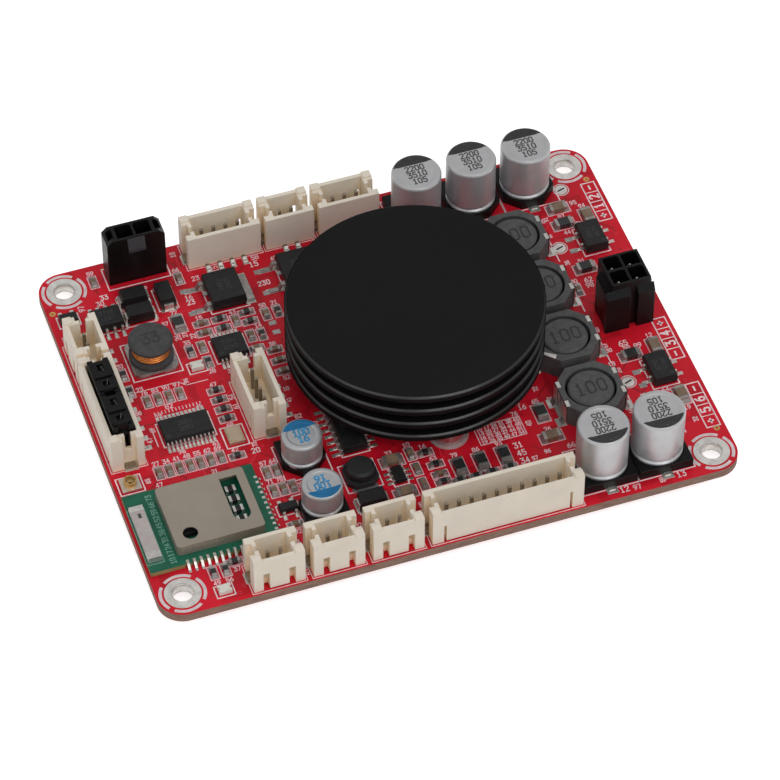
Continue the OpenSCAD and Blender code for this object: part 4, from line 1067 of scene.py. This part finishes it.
def radio_ends():
    """Tinned ends and mark of the antenna, and the tinned ends of the chips in the shield's slot."""
    ends, mark, slot_ends = Piece(), Piece(), Piece()
    (ax0, ay0, az0), (ax1, ay1, az1) = ANTENNA_LO, ANTENNA_HI
    for y0, y1 in ((ay0, ay0 + FRONT_END_L), (ay1 - REAR_END_L, ay1)):
        ends.rect((ax0 + ax1) / 2, (y0 + y1) / 2, ax1 - ax0 + 2 * WRAP, y1 - y0 + 2 * WRAP, az0, az1 + WRAP)
    mark.rect((ax0 + ax1) / 2 + ANTENNA_MARK_X, ay1 - ANTENNA_MARK_IN, ANTENNA_MARK_W, ANTENNA_MARK_D,
              az1 - SUNK, az1 + LIFT)
    for mid, size, lo, hi in parts("radio_chips"):
        if size[0] < SLOT_CHIP_MAX:
            for x in (lo[0] + CHIP_END_IN, hi[0] - CHIP_END_IN):
                slot_ends.rect(x, mid[1], CHIP_END_L, size[1] + 2 * WRAP, lo[2], hi[2] + WRAP)
    ends.make("antenna_ends", "tinned")
    mark.make("antenna_mark", "grey_ink", "antenna_ceramic")
    slot_ends.make("radio_chip_ends", "tinned")


radio_pads()
radio_print()
radio_ends()


# Plugs and headers

RIDGE_SHARE, RIDGE_W, RIDGE_H, RIDGE_SUNK, RIDGE_AT = 0.8, 0.7, 0.3, 0.05, (0.12, 0.5)
BLADE_X, BLADE_L, BLADE_W, BLADES = 0.25, 1.1, 0.14, ((0.31, 1.2), (0.72, 1.75))


def plug_tops():
    """Ridges and contact blades on top of the jumper plugs."""
    ridges, blades = Piece(), Piece()
    for (x, _, _), size, lo, (_, _, z) in parts("jumper_plugs"):
        for t in RIDGE_AT:
            ridges.rect(x, lo[1] + t * size[1], size[0] * RIDGE_SHARE, RIDGE_W, z - RIDGE_SUNK, z + RIDGE_H)
        for t, turn in BLADES:
            blades.rect(x + BLADE_X, lo[1] + t * size[1], BLADE_L, BLADE_W, z - SUNK, z + LIFT, turn)
    ridges.make("plug_ridges", "header_black")
    blades.make("plug_blades", "grey_ink", "tinned")


LATCH_T = 0.1


def latch_face():
    """The polished face of the power header's latch, a skin on the ramp of the solid, painted lighter grey
    as a painted reflection.
    """
    latch = Piece()
    lo, _, pts = solids("power_header")[0]
    face = pts[pts[:, 1] < lo[1] + FACE_NEAR]
    wall_y = pts[pts[:, 2] < lo[2] + FACE_NEAR][:, 1].min()
    (x0, _, z0), (x1, _, z1) = face.min(0), face.max(0)
    over = (pts[:, 0] > x0 - FACE_NEAR) & (pts[:, 0] < x1 + FACE_NEAR)
    ridge = max(pts[(abs(pts[:, 1] - wall_y) < FACE_NEAR) & over][:, 2].max(), z1)
    y0, y1 = lo[1] - LIFT, wall_y - LIFT
    profile = ((y0, z0), (y0, z1), (y1, ridge), (y1 + LATCH_T, ridge), (y0 + LATCH_T, z1),
               (y0 + LATCH_T, z0))
    latch.sweep([[(x, y, z) for y, z in profile] for x in (x0, x1)], False)
    latch.make("latch_face", "latch_painted_sheen", "header_black")


TIP_DROP, TIP_BREAK, TIP_TAPER = 1.7, 0.4, 0.2


def pin_tips():
    """Ends of the speaker header's pins, with broken edges."""
    tips = Piece()
    shoulder = box("speaker_header")[1][2] - TIP_DROP
    for mid, size, _, hi in parts("speaker_pins"):
        half = size[0] / 2
        levels = ((half, hi[2] - SUNK), (half, shoulder), (half - TIP_TAPER, shoulder + TIP_BREAK))
        corners = ((-1, -1), (1, -1), (1, 1), (-1, 1))
        tips.sweep([[(mid[0] + r * u, mid[1] + r * v, z) for u, v in corners] for r, z in levels], False)
    tips.make("pin_tips", "tinned")


TAIL_PROFILE = [(1.1, 0.01), (1.1, -0.03), (0.8, -0.12), (0.5, -0.5), (0.34, -0.95), (0.3, -1.0),
                (0.25, -1.0), (0.25, 0.01)]


def tail_solder():
    """Solder cones of the header tails below the board."""
    cones = Piece()
    for mid, _, _, _ in parts("power_pins", "speaker_pins"):
        cones.lathe(*mid[:2], TAIL_PROFILE, 24)
    cones.make("tail_solder", "tinned", smooth=True)


plug_tops()
latch_face()
pin_tips()
tail_solder()


# Floor: pale, white to the camera and in reflections, with the object's shadow kept

FLOOR_HALF, FLOOR_GREY, FLOOR_VARY, FLOOR_LIFT = 3.0, 0.74, 0.03, 0.68


def make_floor(z):
    h = FLOOR_HALF
    mesh = bpy.data.meshes.new("floor")
    mesh.from_pydata([(-h, -h, z), (h, -h, z), (h, h, z), (-h, h, z)], [], [(0, 1, 2, 3)])
    obj = bpy.data.objects.new("floor", mesh)
    bpy.context.scene.collection.objects.link(obj)
    s = Shader("floor")
    s.set("Base Color", s.mottle(30, (FLOOR_GREY,) * 3, (FLOOR_GREY + FLOOR_VARY,) * 3))
    s.set("Roughness", 0.9)
    s.set("Specular IOR Level", 0.1)
    path = s.tree.nodes.new("ShaderNodeLightPath").outputs
    seen = s.math("MAXIMUM", path["Is Camera Ray"],
                  s.math("MAXIMUM", path["Is Glossy Ray"], path["Is Transmission Ray"]))
    s.set("Emission Color", (1, 1, 1, 1))
    s.set("Emission Strength", s.math("MULTIPLY", seen, FLOOR_LIFT))
    mesh.materials.append(s.mat)


make_floor(start_bounds[0][2])


# Light: an even white world, a key lamp at the front and a fill lamp at the left, in metres and watts

WORLD = 0.61
LAMP_SIZE = 0.7
LAMPS = (("key", (0.156, -0.584, 0.720), 2.2), ("fill", (-0.576, -0.332, 0.665), 0.7))


def make_light():
    world = bpy.data.worlds.new("studio")
    bpy.context.scene.world = world
    world.use_nodes = True
    background = world.node_tree.nodes["Background"].inputs
    background["Color"].default_value = (1, 1, 1, 1)
    background["Strength"].default_value = WORLD
    for name, place, watts in LAMPS:
        light = bpy.data.lights.new(name, "AREA")
        light.shape = "DISK"
        light.size = LAMP_SIZE
        light.energy = watts
        obj = bpy.data.objects.new(name, light)
        bpy.context.scene.collection.objects.link(obj)
        obj.location = place
        obj.rotation_euler = (-Vector(place)).to_track_quat("-Z", "Y").to_euler()


make_light()


# Camera, where the photograph was taken from: lens and frame in pixels, angles, target and distance

SENSOR, LENS_PIXELS, FRAME_PIXELS = 36.0, 4005.0, 780.0
AZIMUTH, ELEVATION = math.radians(-19.02), math.radians(49.10)
TARGET, DISTANCE = Vector((-0.175, -4.187, TOP)) * MM, 0.61657


def make_camera():
    lens = bpy.data.cameras.new("camera")
    lens.sensor_width = SENSOR
    lens.lens = SENSOR * LENS_PIXELS / FRAME_PIXELS
    lens.clip_start, lens.clip_end = 0.01, 20.0
    lens.dof.use_dof = False
    cam = bpy.data.objects.new("camera", lens)
    bpy.context.scene.collection.objects.link(cam)
    back = Vector((math.sin(AZIMUTH) * math.cos(ELEVATION), -math.cos(AZIMUTH) * math.cos(ELEVATION),
                   math.sin(ELEVATION)))
    cam.location = TARGET + back * DISTANCE
    cam.rotation_euler = back.to_track_quat("Z", "Y").to_euler()
    bpy.context.scene.camera = cam


make_camera()
bpy.context.scene.view_settings.view_transform = "Standard"
